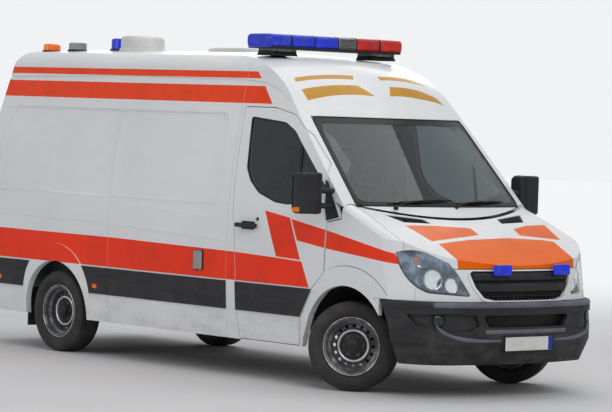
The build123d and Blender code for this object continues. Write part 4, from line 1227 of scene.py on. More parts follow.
@dataclass
class Studio:
    """Pale floor and backdrop, soft lamps and the camera."""

    camera_at: Point = (18.4259, -16.0264, 2.1162)
    right: Point = (0.66231335, 0.74842918, 0.03456562)
    up: Point = (-0.04686272, -0.00466238, 0.99889046)
    forward: Point = (-0.74775993, 0.66319833, -0.03198547)
    lens: float = 172.84

    def build(self) -> None:
        """Makes the camera, floor, world and lamps."""
        self._camera()
        self._floor()
        self._world()
        self._lamp("key", (11.0, -5.0, 9.0), 8.0, 580.0)
        self._lamp("fill", (-4.0, -13.0, 6.0), 9.0, 300.0)
        self._lamp("top", (0.0, 2.0, 11.0), 9.0, 380.0)
        self._lamp("back", (-9.0, 9.0, 7.0), 8.0, 380.0)
        bpy.context.scene.view_settings.view_transform = "Standard"

    def _camera(self) -> None:
        """Camera at the photograph's angle."""
        data = bpy.data.cameras.new("camera")
        data.lens, data.sensor_width, data.clip_end = self.lens, 36.0, 200.0
        camera = bpy.data.objects.new("camera", data)
        bpy.context.scene.collection.objects.link(camera)
        columns = (Vector(self.right), Vector(self.up), -Vector(self.forward))
        camera.matrix_world = Matrix.Translation(Vector(self.camera_at)) @ Matrix(columns).transposed().to_4x4()
        bpy.context.scene.camera = camera

    @staticmethod
    def _seen(g: Graph) -> bpy.types.NodeSocket:
        """Share by which a surface shows to the camera and not only as light.

        Args:
            g: the graph that it is drawn in.

        Returns:
            1 for what is seen straight or through glass, a half for reflections.
        """
        path = g.add("ShaderNodeLightPath")
        seen = g.math("MAXIMUM", path.outputs["Is Camera Ray"], path.outputs["Is Transmission Ray"])
        return g.math("MAXIMUM", seen, g.times(path.outputs["Is Glossy Ray"], 0.5))

    def _floor(self) -> None:
        """Wide pale floor that keeps the vehicle's shadow."""
        form = Form()
        form.block((-60.0, -60.0, -0.2), (60.0, 60.0, 0.0))
        mesh = bpy.data.meshes.new("floor_plane")
        form.bm.to_mesh(mesh)
        form.bm.free()
        floor = bpy.data.objects.new("floor_plane", mesh)
        bpy.context.scene.collection.objects.link(floor)
        material = bpy.data.materials.new("floor_pale")
        material.use_nodes = True
        g = Graph(material.node_tree)
        shader = material.node_tree.nodes["Principled BSDF"]
        place = g.add("ShaderNodeTexCoord").outputs["Object"]
        cloud = g.noise(place, 0.35, 4.0)
        far = g.add("ShaderNodeVectorMath", operation="LENGTH")
        g.put(far.inputs[0], place)
        seen = self._seen(g)
        away = g.remap(far.outputs["Value"], 4.5, 16.0)
        g.put(shader.inputs["Base Color"],
            g.mix(away, g.mix(g.remap(cloud, 0.3, 0.7), rgb(0.84, 0.84, 0.845), rgb(0.82, 0.82, 0.825)),
            rgb(0.2, 0.2, 0.2)))
        g.put(shader.inputs["Roughness"], g.remap(cloud, 0.3, 0.7, 0.85, 0.95))
        g.put(shader.inputs["Emission Color"], BACKDROP)
        g.put(shader.inputs["Emission Strength"], g.times(g.times(seen, away), 0.86))
        mesh.materials.append(material)

    def _world(self) -> None:
        """Soft grey surroundings, pale where the camera or a reflection sees them."""
        world = bpy.data.worlds.new("studio")
        world.use_nodes = True
        g = Graph(world.node_tree)
        world.node_tree.nodes.clear()
        seen = self._seen(g)
        shader = g.add("ShaderNodeBackground")
        g.put(shader.inputs["Color"], BACKDROP)
        g.put(shader.inputs["Strength"], g.remap(seen, 0.0, 1.0, 0.36, 0.9, smooth=False))
        g.put(g.add("ShaderNodeOutputWorld").inputs["Surface"], shader.outputs[0])
        bpy.context.scene.world = world

    def _lamp(self, name: str, place: Point, size: float, power: float) -> None:
        """A square area lamp aimed at the vehicle's middle.

        Args:
            name: the lamp's name.
            place: where it hangs.
            size: its width.
            power: its watts.
        """
        data = bpy.data.lights.new(name, "AREA")
        data.energy, data.size = power, size
        lamp = bpy.data.objects.new(name, data)
        bpy.context.scene.collection.objects.link(lamp)
        aim = Vector((0.0, 0.0, 1.1)) - Vector(place)
        lamp.matrix_world = Matrix.Translation(Vector(place)) @ frame_of(-aim).to_4x4()


@dataclass
class BodyShell(Assembly):
    """Gives every carried-over node its finish."""

    coats: dict = field(default_factory=lambda: {
        "paint_side": "front_door_left front_door_right front_fenders side_door_left "
            "side_panel_left side_panel_right_front side_panel_right_rear rear_frame "
            "cab_frame",
        "paint_roof": "roof_panel",
        "paint_dome": "roof_dome",
        "paint_bonnet": "bonnet",
        "paint_plain": "front_panel rear_door_left rear_door_right cowl",
        "bumper_grey": "front_bumper rear_bumper rub_strips front_door_left_fittings "
            "front_door_right_fittings",
        "trim_black": "grille arch_liners",
        "dash_grey": "dashboard steering_wheel",
        "lining_grey": "partition",
        "floor_grey": "floor",
        "white_plastic": "roof_vents",
        "socket_grey": "roof_fittings",
        "seat_cloth": "front_seats",
        # The rims take the silver darkened as painted shade.
        "wheel_silver": "wheel_front_left_rim wheel_front_right_rim wheel_rear_left_rim "
            "wheel_rear_right_rim",
        "tyre_rubber": "wheel_front_left_tyre wheel_front_right_tyre wheel_rear_left_tyre "
            "wheel_rear_right_tyre",
        "chassis_black": "chassis_frame firewall front_suspension rear_axle fuel_tank",
        "cast_iron": "knuckle_left knuckle_right",
        "alloy_casting": "engine gearbox_and_shaft",
        "exhaust_steel": "exhaust",
        "screen_glass": "windscreen",
        "door_glass": "front_door_left_glass front_door_right_glass rear_door_left_glass "
            "rear_door_right_glass",
        "lamp_clear": "headlamps",
        "lamp_housing": "headlamp_bowls",
        "plate_white": "number_plate",
        "blue_lens": "blue_lamps",
        "red_lens": "red_lamps",
        "amber_lens": "amber_lamps",
    })

    def dress(self) -> None:
        """Assigns the finishes."""
        for finish, names in self.coats.items():
            for name in names.split():
                self.finishes.coat(self.frame["nodes"][name], finish)
            LOG.info("%s: %s", finish, names)


@dataclass
class Wheel(Assembly):
    """Tread, sidewall rings, bolts, hub cover and valve of one wheel, drawn about its own axle."""

    name: str
    side: Side
    front: bool
    radius: float = 0.345
    track: float = 0.855
    front_axle: float = -0.025
    rear_axle: float = -3.667
    kingpin: float = 0.85
    steer: float = 33.0
    lugs: int = 60

    def place(self) -> Matrix:
        """Carries a shape drawn about the origin, outer face towards +Y, to the axle's end.

        Returns:
            The placement.
        """
        flip = Matrix.Rotation(math.pi, 4, "Z") if self.side is Side.RIGHT else Matrix.Identity(4)
        along = ARCH_X + (self.front_axle if self.front else self.rear_axle)
        move = Matrix.Translation((along, self.side.value * self.track, self.radius))
        if not self.front:
            return move @ flip
        pin = Matrix.Translation((along, self.side.value * self.kingpin, 0.0))
        return pin @ Matrix.Rotation(math.radians(self.steer), 4, "Z") @ pin.inverted() @ move @ flip

    def _finish(self, form: Form, label: str, finish: str, bevel: float = 0.0) -> None:
        """Carries a form into place and makes it a piece of this wheel."""
        form.bm.transform(self.place())
        self.add(form, f"{self.name}_{label}", finish, self.name, bevel)

    def _lug(self, form: Form, start: float, low: float, high: float, slant: float, width: float) -> None:
        """One raised block of the tread between two places across it.

        Args:
            form: what the block is added to.
            start: its angle round the wheel.
            low: one end across the tread.
            high: the other end.
            slant: change of angle with the place across.
            width: its angle from edge to edge.
        """
        points = []
        steps = 4
        for lift in (-0.001, 0.0065):
            for edge in (-0.5, 0.5):
                for k in range(steps + 1):
                    across = low + (high - low) * k / steps
                    crown = self.radius - 0.0075 - 0.003 * (across / 0.077) ** 2
                    angle = start + slant * (across - low) + edge * width
                    r = crown + lift
                    points.append((r * math.cos(angle), across, r * math.sin(angle)))
        n = steps + 1
        rings = [[points[k], points[n + k], points[3 * n + k], points[2 * n + k]] for k in range(n)]
        form.rings(rings)

    def tread(self) -> None:
        """Three rows of slanted blocks, a ribbed shoulder and raised sidewall rings."""
        form = Form()
        turn = 2 * math.pi / self.lugs
        for i in range(self.lugs):
            self._lug(form, i * turn, -0.074, -0.034, 1.6, turn * 0.78)
            self._lug(form, i * turn + turn * 0.4, -0.028, 0.028, -1.2, turn * 0.8)
            self._lug(form, i * turn, 0.034, 0.074, 1.6, turn * 0.78)
            for sign in (-1, 1):
                a, b = sign * 0.078, sign * 0.0985
                rings = []
                for y, r in ((a, 0.3398), (b, 0.3315), (sign * 0.1065, 0.318)):
                    rings.append([(r + lift, y + sign * lift * 0.4, angle) for lift in (-0.004, 0.0028)
                        for angle in (i * turn, i * turn + turn * 0.6)])
                solid = [[(r * math.cos(t), y, r * math.sin(t))
                    for r, y, t in (ring[0], ring[1], ring[3], ring[2])] for ring in rings]
                form.rings(solid)
        self._finish(form, "tread", "tyre_rubber")
        rings_form = Form()
        for sign in (-1, 1):
            for r, y, size in ((0.3, 0.1135, 0.0016), (0.262, 0.1145, 0.0014), (0.232, 0.0935, 0.0022)):
                profile = [(r + size * math.cos(a), sign * (y + size * math.sin(a))) for a in turns(6)]
                rings_form.lathe(profile, ORIGIN, LEFTWARD, 72, loop=True)
        self._finish(rings_form, "sidewall", "tyre_rubber")

    def hub(self) -> None:
        """Dark hub cover, six bolts, balance weight, valve and the rim's rolled lip."""
        cover = Form().lathe([(0.046, 0.03), (0.05, 0.04), (0.047, 0.05), (0.036, 0.054), (0.03, 0.058),
            (0.004, 0.06)], ORIGIN, LEFTWARD, 40)
        cover.lathe([(0.0535, 0.0065), (0.094, 0.0065), (0.0955, 0.0105), (0.092, 0.0125), (0.0545, 0.0125)],
            ORIGIN, LEFTWARD, 56, loop=True)
        self._finish(cover, "hub_cover", "trim_black")
        bolts = Form()
        for k in range(6):
            a = 2 * math.pi * k / 6
            x, z = 0.076 * math.cos(a), -0.076 * math.sin(a)
            bolts.lathe([(0.0125, 0.01), (0.0125, 0.0235), (0.0105, 0.0255), (0.0022, 0.0262)], (x, 0, z),
                LEFTWARD, 6)
            bolts.lathe([(0.0165, 0.01), (0.0165, 0.0142), (0.013, 0.015)], (x, 0, z), LEFTWARD, 20)
        self._finish(bolts, "bolts", "cast_iron")
        # The raised ring and rolled lip take the bright metal: painted highlight on the rim's silver, whose disc is
        # darkened as painted shade.
        lip = Form()
        for sign in (-1, 1):
            profile = [(0.2215 + 0.0032 * math.cos(a), sign * (0.0895 + 0.0032 * math.sin(a))) for a in turns(8)]
            lip.lathe(profile, ORIGIN, LEFTWARD, 72, loop=True)
        ring = [(0.118 + 0.0105 * math.cos(a), 0.0235 + 0.0075 * math.sin(a)) for a in turns(12)]
        lip.lathe(ring, ORIGIN, LEFTWARD, 64, loop=True)
        self._finish(lip, "rim_lip", "rim_bright")
        valve = Form().tube([(0.183, 0.028, 0.02), (0.176, 0.048, 0.02), (0.172, 0.062, 0.02)], 0.0045, 8)
        valve.block((-0.03, 0.086, 0.2105), (0.03, 0.0945, 0.2195))
        self._finish(valve, "valve", "trim_black", 0.001)

    def build(self) -> None:
        """Makes the wheel's pieces."""
        self.tread()
        self.hub()


@dataclass
class Brake(Assembly):
    """Brake disc rings and vanes behind a front wheel, or the drum's ribs behind a rear one."""

    wheel: Wheel
    body: str

    def build(self) -> None:
        """Makes the disc's faces and vanes, or the drum's ribs."""
        place = self.wheel.place()
        form = Form()
        if self.wheel.front:
            for y in (-0.0575, -0.0345):
                form.lathe([(0.085, y - 0.0012), (0.1385, y - 0.0012), (0.1385, y + 0.0012), (0.085, y + 0.0012)],
                    ORIGIN, LEFTWARD, 48, loop=True)
            for k in range(36):
                a = 2 * math.pi * k / 36
                c, s = math.cos(a), math.sin(a)
                form.tube([(0.09 * c, -0.046, 0.09 * s), (0.1395 * c, -0.046, 0.1395 * s)], 0.0035, 5)
        else:
            for r in (0.145, 0.152, 0.157):
                form.lathe([(r - 0.004, -0.104), (r, -0.102), (r, -0.06), (r - 0.004, -0.057)], ORIGIN, LEFTWARD,
                    48)
        form.bm.transform(place)
        self.add(form, f"{self.wheel.name}_brake", "disc_steel", self.body)


@dataclass
class Grille(Assembly):
    """Honeycomb mesh and ribbed bars in the mouth of the front panel."""

    low: float = 0.756
    high: float = 0.964
    half: float = 0.53
    cell: float = 0.0135
    wire: float = 0.0016
    depth: float = 0.03

    def front_x(self, y: float, z: float) -> float:
        """Place of the nose's face ahead of the arch at a width and height."""
        return 0.966 - 0.073 * (abs(y) / 0.6) ** 2 - 0.165 * (z - 0.76)

    def inside(self, y: float, z: float) -> bool:
        """Whether a place lies in the mouth.

        Args:
            y: place across.
            z: height.

        Returns:
            True inside the mouth.
        """
        edge = ((0.748, 0.33), (0.768, 0.43), (0.85, 0.5), (0.968, 0.548))
        if not self.low < z < self.high:
            return False
        for (z0, y0), (z1, y1) in zip(edge, edge[1:]):
            if z0 <= z <= z1:
                return abs(y) < y0 + (y1 - y0) * (z - z0) / (z1 - z0) - 0.008
        return False

    def mesh(self) -> None:
        """Six-sided cells joined wall to wall."""
        form = Form()
        pitch_y, pitch_z = self.cell * math.sqrt(3), self.cell * 1.5
        rows = int((self.high - self.low) / pitch_z) + 2
        for row in range(rows):
            z = self.low + row * pitch_z
            for k in range(-int(self.half / pitch_y) - 1, int(self.half / pitch_y) + 2):
                y = (k + 0.5 * (row % 2)) * pitch_y
                if not self.inside(y, z):
                    continue
                rings = []
                for grow, back in ((self.cell - self.wire, 0.0), (self.cell + 0.0002, 0.0),
                        (self.cell + 0.0002, -0.008), (self.cell - self.wire, -0.008)):
                    ring = []
                    for i in range(6):
                        a = math.pi / 3 * i + math.pi / 6
                        yy, zz = y + grow * math.cos(a), z + grow * math.sin(a)
                        ring.append(at(self.front_x(yy, zz) - self.depth + back, yy, zz))
                    rings.append(ring)
                form.rings(rings, loop=True)
        self.add(form, "grille_mesh", "gloss_black")

    def bars(self) -> None:
        """Rounded caps along the two bars with a bright line on each."""
        form = Form()
        for z, tall in ((0.928, 0.06), (0.846, 0.066)):
            rings = []
            reach = 0.495 if z > 0.9 else 0.462
            for k in range(41):
                y = -reach + 2 * reach * k / 40
                x = self.front_x(y, z)
                ring = []
                for dx, dz in ((-0.01, -0.5), (0.001, -0.42), (0.0045, -0.15), (0.0045, 0.15), (0.001, 0.42),
                        (-0.01, 0.5)):
                    ring.append(at(x + dx - 0.165 * dz * tall - 0.004, y, z + dz * tall))
                rings.append(ring)
            form.rings(rings)
        self.add(form, "grille_bars", "bumper_grey", angle=50)

    def build(self) -> None:
        """Makes the mesh and the bars."""
        self.mesh()
        self.bars()


@dataclass
class HeadLamp(Assembly):
    """Reflector bowls, bulbs, bezel and ribs behind a headlamp's lens."""

    side: Side
    bowls: tuple = ((0.718, 0.763, 0.895, 0.078), (0.801, 0.65, 0.856, 0.058))

    def build(self) -> None:
        """Makes the bowls' bright insides, bulbs, bezel rings and the indicator's ribs."""
        label = self.side.label
        sign = self.side.value
        bright, rings, bulbs = Form(), Form(), Form()
        for x, y, z, r in self.bowls:
            axis = (0.97, sign * 0.243, 0.0)
            centre = at(x - 0.084 * 0.97, sign * (y - 0.084 * 0.243), z)
            inner = [(r * 0.34 - 0.004, 0.0065), (r * 0.6, 0.02), (r * 0.78 - 0.006, 0.04), (r * 0.9, 0.062),
                (r - 0.006, 0.086)]
            steps = 60
            turn = frame_of(axis)
            made = []
            for radius, along in inner:
                made.append([centre + turn @ Vector(
                    ((radius - (0.0016 if i % 2 else 0.0)) * math.cos(2 * math.pi * i / steps),
                    (radius - (0.0016 if i % 2 else 0.0)) * math.sin(2 * math.pi * i / steps), along))
                    for i in range(steps)])
            bright.rings(made)
            rings.lathe([(r - 0.004, 0.078), (r + 0.003, 0.08), (r + 0.004, 0.088), (r, 0.091),
                (r - 0.005, 0.088)], centre, axis, 56, loop=True)
            bulbs.lathe([(0.01, 0.004), (0.01, 0.03), (0.016, 0.038), (0.016, 0.052), (0.009, 0.06),
                (0.002, 0.062)], centre, axis, 24)
        self.add(bright, f"headlamp_{label}_bowls", "reflector", angle=20)
        self.add(rings, f"headlamp_{label}_rings", "rim_bright")
        self.add(bulbs, f"headlamp_{label}_bulbs", "lamp_clear")
        slats = Form()
        for k in range(6):
            x, y = 0.655 - 0.01 * k, sign * (0.842 - 0.034 * k)
            slats.tube(smooth_path([at(x - 0.035, y + sign * 0.03, 1.0 - 0.008 * k), at(x, y, 0.995 - 0.01 * k),
                at(x + 0.02, y - sign * 0.055, 0.972 - 0.012 * k)], 4), 0.0035, 6)
        self.add(slats, f"headlamp_{label}_steps", "reflector")
        amber = Form().lathe([(0.012, 0.0), (0.017, 0.008), (0.018, 0.02), (0.012, 0.032), (0.003, 0.036)],
            at(0.635, sign * 0.865, 1.04), (1.0, sign * 0.6, 0.0), 24)
        self.add(amber, f"headlamp_{label}_amber", "amber_lens")


@dataclass
class Screen(Assembly):
    """Windscreen's black border, rubber, wipers and inner mirror."""

    foot: Point = (0.88, 1.417)
    head: Point = (0.806, 2.083)

    def build(self) -> None:
        """Makes the pieces on and behind the windscreen."""
        skin = self.skin("windscreen")
        foot, head = self.foot, self.head
        flat = [(-foot[0], foot[1]), (foot[0], foot[1]), (head[0], head[1]), (-head[0], head[1])]
        outer = rounded(flat, 0.05)
        hole = rounded([(-foot[0] + 0.035, foot[1] + 0.03), (foot[0] - 0.035, foot[1] + 0.03),
            (head[0] - 0.03, head[1] - 0.045), (-head[0] + 0.03, head[1] - 0.045)], 0.07)
        lift = [Vector((BEFORE_NOSE, y, z)) for y, z in outer]
        gap = [Vector((BEFORE_NOSE, y, z)) for y, z in hole]
        self.add(skin.patch(lift, BACK, 0.0004, 0.0008, 0.06, gap), "screen_border", "gloss_black")
        self._rubber(skin, outer)
        self._wipers(skin)
        self._mirror()

    def _rubber(self, skin: Skin, outline: Sequence[Point]) -> None:
        """Rubber bead along the glass's edge.

        Args:
            skin: the glass' surface.
            outline: the glass' edge.
        """
        path = []
        for (ay, az), (by, bz) in zip(outline, list(outline[1:]) + [outline[0]]):
            count = max(1, int(math.hypot(by - ay, bz - az) / 0.05))
            path += [(BEFORE_NOSE, ay + (by - ay) * (k / count), az + (bz - az) * (k / count))
                for k in range(count)]
        self.add(Form().tube(skin.trace(path, BACK, 0.001), 0.0055, 8, closed=True), "screen_rubber", "seal_rubber")

    def _wipers(self, skin: Skin) -> None:
        """Two arms and blades parked along the foot of the glass.

        Args:
            skin: the glass' surface.
        """
        for label, low, high, pivot in (("near", (-0.62, 1.432), (0.02, 1.462), (0.118, -0.6, 1.398)),
                ("far", (0.05, 1.438), (0.66, 1.45), (0.128, 0.03, 1.404))):
            blade, arm = Form(), Form()
            line = []
            for k in range(13):
                t = k / 12
                y, z = low[0] + (high[0] - low[0]) * t, low[1] + (high[1] - low[1]) * t
                met = skin.hit((BEFORE_NOSE, y, z), BACK)
                if met:
                    line.append((met[0], met[1]))
            blade.tube([p + n * 0.0045 for p, n in line], 0.0035, 6)
            blade.tube([p + n * 0.01 for p, n in line[1:-1]], 0.0045, 6)
            for p, n in line[2:-1:3]:
                blade.tube([p + n * 0.009, p + n * 0.019], 0.005, 8)
            bridge = [p + n * (0.018 + 0.007 * math.sin(math.pi * i / (len(line) - 5)))
                for i, (p, n) in enumerate(line[2:-2])]
            blade.tube(bridge, 0.0035, 6)
            self.add(blade, f"wiper_{label}_blade", "trim_black")
            middle = line[len(line) // 2]
            start = at(*pivot)
            hub = start + Vector((0.012, 0.0, 0.02))
            arm.tube(smooth_path([hub, hub.lerp(middle[0] + middle[1] * 0.03, 0.4) + Vector((0.012, 0, 0.012)),
                middle[0] + middle[1] * 0.026], 6), 0.0055, 8)
            arm.lathe([(0.019, -0.004), (0.02, 0.012), (0.014, 0.022), (0.006, 0.026)], start, (0.25, 0.0, 1.0), 24)
            self.add(arm, f"wiper_{label}_arm", "trim_black")

    def _mirror(self) -> None:
        """Mirror and its foot inside the glass."""
        case = Form()
        case.prism(_tilted(rounded([(-0.115, 1.925), (0.115, 1.925), (0.105, 1.985), (-0.105, 1.985)], 0.022),
            -0.6), (0.016, 0, 0))
        case.tube([at(-0.585, 0, 1.985), at(-0.545, 0, 2.03)], 0.008, 8)
        self.add(case, "inner_mirror", "trim_black", bevel=0.004)
        glass = Form()
        glass.prism(_tilted(rounded([(-0.107, 1.931), (0.107, 1.931), (0.098, 1.979), (-0.098, 1.979)], 0.018),
            -0.6012), (0.001, 0, 0))
        self.add(glass, "inner_mirror_glass", "mirror_glass")


def _tilted(outline: Sequence[Point], ahead: float) -> list[Vector]:
    """An end-view outline set at a place along the vehicle."""
    return [at(ahead, y, z) for y, z in outline]


@dataclass
class DoorMirror(Assembly):
    """Mirror glass, its frame, the repeater lamp and the housing's joint lines."""

    side: Side
    centre: Point = (-0.245, 1.185, 1.5)
    half: Point = (0.065, 0.11, 0.1575)

    def build(self) -> None:
        """Makes the pieces on one door mirror."""
        label = self.side.label
        body = f"front_door_{label}"
        x = self.centre[0] - self.half[0]
        y0, z0 = self.side.value * self.centre[1], self.centre[2]
        frame_form = Form()
        outer = oblong(-0.098, -0.142, 0.098, 0.142, 0.03)
        inner = oblong(-0.09, -0.134, 0.09, 0.134, 0.026)
        rings = []
        for loop, back in ((outer, 0.001), (outer, -0.005), (inner, -0.005), (inner, 0.001)):
            rings.append([at(x + back, y0 + y, z0 + z) for y, z in loop])
        frame_form.rings(rings, loop=True)
        frame_form.block(at(x - 0.0045, y0 - 0.09, z0 - 0.052), at(x + 0.001, y0 + 0.09, z0 - 0.046))
        self.add(frame_form, f"mirror_{label}_frame", "gloss_black", body)
        for part, low, high, bulge in (("main", -0.045, 0.132, 0.0), ("wide", -0.132, -0.053, 0.002)):
            pane = Form()
            outline = oblong(-0.088, low, 0.088, high, 0.02)
            pane.prism([at(x - 0.0032 - bulge, y0 + y, z0 + z) for y, z in outline], (0.004, 0, 0))
            self.add(pane, f"mirror_{label}_{part}", "mirror_glass", body)
        lamp = Form()
        y_out = y0 + self.side.value * (self.half[1] - 0.006)
        outline = rounded([(-0.05, -0.145), (0.035, -0.145), (0.035, -0.105), (-0.05, -0.112)], 0.012)
        lamp.prism([at(self.centre[0] + a, y_out, z0 + b) for a, b in outline], (0, self.side.value * 0.009, 0))
        self.add(lamp, f"mirror_{label}_repeater", "amber_lens", body, 0.002)
        seam = Form()
        y_in = y0 - self.side.value * self.half[1] * 0.5
        loop = oblong(-0.066, -0.1585, 0.066, 0.1585, 0.02)
        seam.tube([at(self.centre[0] + a, y_in, z0 + b) for a, b in loop], 0.0016, 6, closed=True)
        self.add(seam, f"mirror_{label}_seam", "gloss_black", body)


@dataclass
class RoofLamps(Assembly):
    """End caps, joints and ribs of the light bar, and collars and screws of the single lamps."""

    ahead: float = -1.42
    base: float = 2.621
    half_x: float = 0.15
    height: float = 0.112

    def _loop(self, y: float, grow: float) -> list[Vector]:
        """The bar's rounded section at a width, grown by a little."""
        flat = oblong(-self.half_x - grow, -grow, self.half_x + grow, self.height + grow, 0.045, 6)
        return [at(self.ahead + a, y, self.base + b) for a, b in flat]

    def bar(self) -> None:
        """Joint bands, end bumpers, base tray, speaker slots and screws of the bar."""
        bands, tray, slots = Form(), Form(), Form()
        for y in (-0.495, -0.25, 0.007, 0.205, 0.465):
            wide = 0.009 if abs(y) > 0.1 else 0.007
            bands.rings([self._loop(y - wide, -0.006), self._loop(y - wide * 0.8, 0.0015),
                self._loop(y + wide * 0.8, 0.0015), self._loop(y + wide, -0.006)])
        self.add(bands, "bar_joints", "gloss_black")
        tray.rings([_section(self.ahead, y, self.base, 0.148, -0.006, 0.014) for y in (-0.7, 0.7)])
        for y in (-0.52, 0.56):
            tray.rings([[at(self.ahead + sx * w, y + sy * d, z) for sx, sy in ((-1, -1), (1, -1), (1, 1), (-1, 1))]
                for w, d, z in ((0.102, 0.128, 2.56), (0.102, 0.128, 2.572), (0.097, 0.122, 2.578),
                (0.092, 0.118, 2.619))])
            for sx in (-1, 1):
                for sy in (-1, 1):
                    tray.lathe([(0.009, 0.0), (0.009, 0.004), (0.005, 0.006)],
                        at(self.ahead + sx * 0.0975, y + sy * 0.09, 2.592), (sx, 0, 0), 6)
        self.add(tray, "bar_tray", "trim_black")
        for side in (-1, 1):
            for k in range(7):
                z = self.base + 0.024 + 0.011 * k
                slots.block(at(self.ahead + side * 0.1505 - 0.0015, 0.022, z),
                    at(self.ahead + side * 0.1505 + 0.0015, 0.19, z + 0.005))
        self.add(slots, "bar_speaker_slots", "gloss_black")
        ridge = Form()
        for low, high in ((-0.7, -0.505), (-0.485, -0.26), (-0.24, -0.01), (0.222, 0.45), (0.48, 0.7)):
            for dx in (-0.075, -0.025, 0.025, 0.075):
                ridge.rings([[at(self.ahead + dx + w, y, self.base + self.height + h)
                    for w, h in ((-0.004, -0.001), (0.004, -0.001), (0.002, 0.0022), (-0.002, 0.0022))]
                    for y in (low, high)])
        blue = Form()
        for y in (-0.4, -0.12):
            blue.lathe([(0.052, 0.0), (0.052, 0.012), (0.02, 0.016)], at(self.ahead, y, self.base + 0.018), UP, 32)
        self.add(ridge, "bar_ridges", "socket_grey")
        self.add(blue, "bar_rotators", "reflector")

    def singles(self) -> None:
        """Collar, rim and cap rings of the lamps, horn and vent behind the bar."""
        dark, pale = Form(), Form()
        for x, y, r, low, high, form in ((-3.738, -0.3, 0.09, 2.592, 2.606, dark),
                (-4.105, -0.5, 0.078, 2.572, 2.59, dark), (-4.4, -0.56, 0.075, 2.56, 2.58, dark),
                (-3.445, -0.3, 0.188, 2.592, 2.612, pale)):
            form.lathe([(r - 0.004, low - 0.02), (r + 0.012, low - 0.02), (r + 0.013, low + 0.004),
                (r + 0.004, high), (r - 0.004, high)], at(x, y, 0.0), UP, 56, loop=True)
            for k in range(6):
                a = math.pi / 3 * k
                form.lathe([(0.004, low), (0.004, high - 0.004), (0.002, high - 0.002)],
                    at(x + (r + 0.007) * math.cos(a), y + (r + 0.007) * math.sin(a), 0.0), UP, 6)
        for r, z in ((0.15, 2.7145), (0.11, 2.715), (0.07, 2.715)):
            pale.lathe([(r - 0.004, z - 0.001), (r, z + 0.0022), (r + 0.004, z - 0.001)], at(-3.445, -0.3, 0.0),
                UP, 56, loop=True)
        self.add(dark, "roof_collars", "trim_black")
        self.add(pale, "roof_vent_rings", "white_plastic")
        lid = Form()
        for inset in (0.03, 0.09, 0.15):
            loop = oblong(-0.25 + inset, -0.25 + inset, 0.25 - inset, 0.25 - inset, 0.04)
            lid.tube([at(-2.37 + a, b, 2.6255) for a, b in loop], 0.0035, 6, closed=True)
        self.add(lid, "roof_hatch_ribs", "white_plastic")

    def build(self) -> None:
        """Makes the roof lamps' details."""
        self.bar()
        self.singles()


def _section(ahead: float, y: float, base: float, half: float, low: float, high: float) -> list[Vector]:
    """A low tray's section under the light bar."""
    return [at(ahead + a, y, base + b) for a, b in ((-half, low), (half, low), (half + 0.006, high),
        (-half - 0.006, high))]


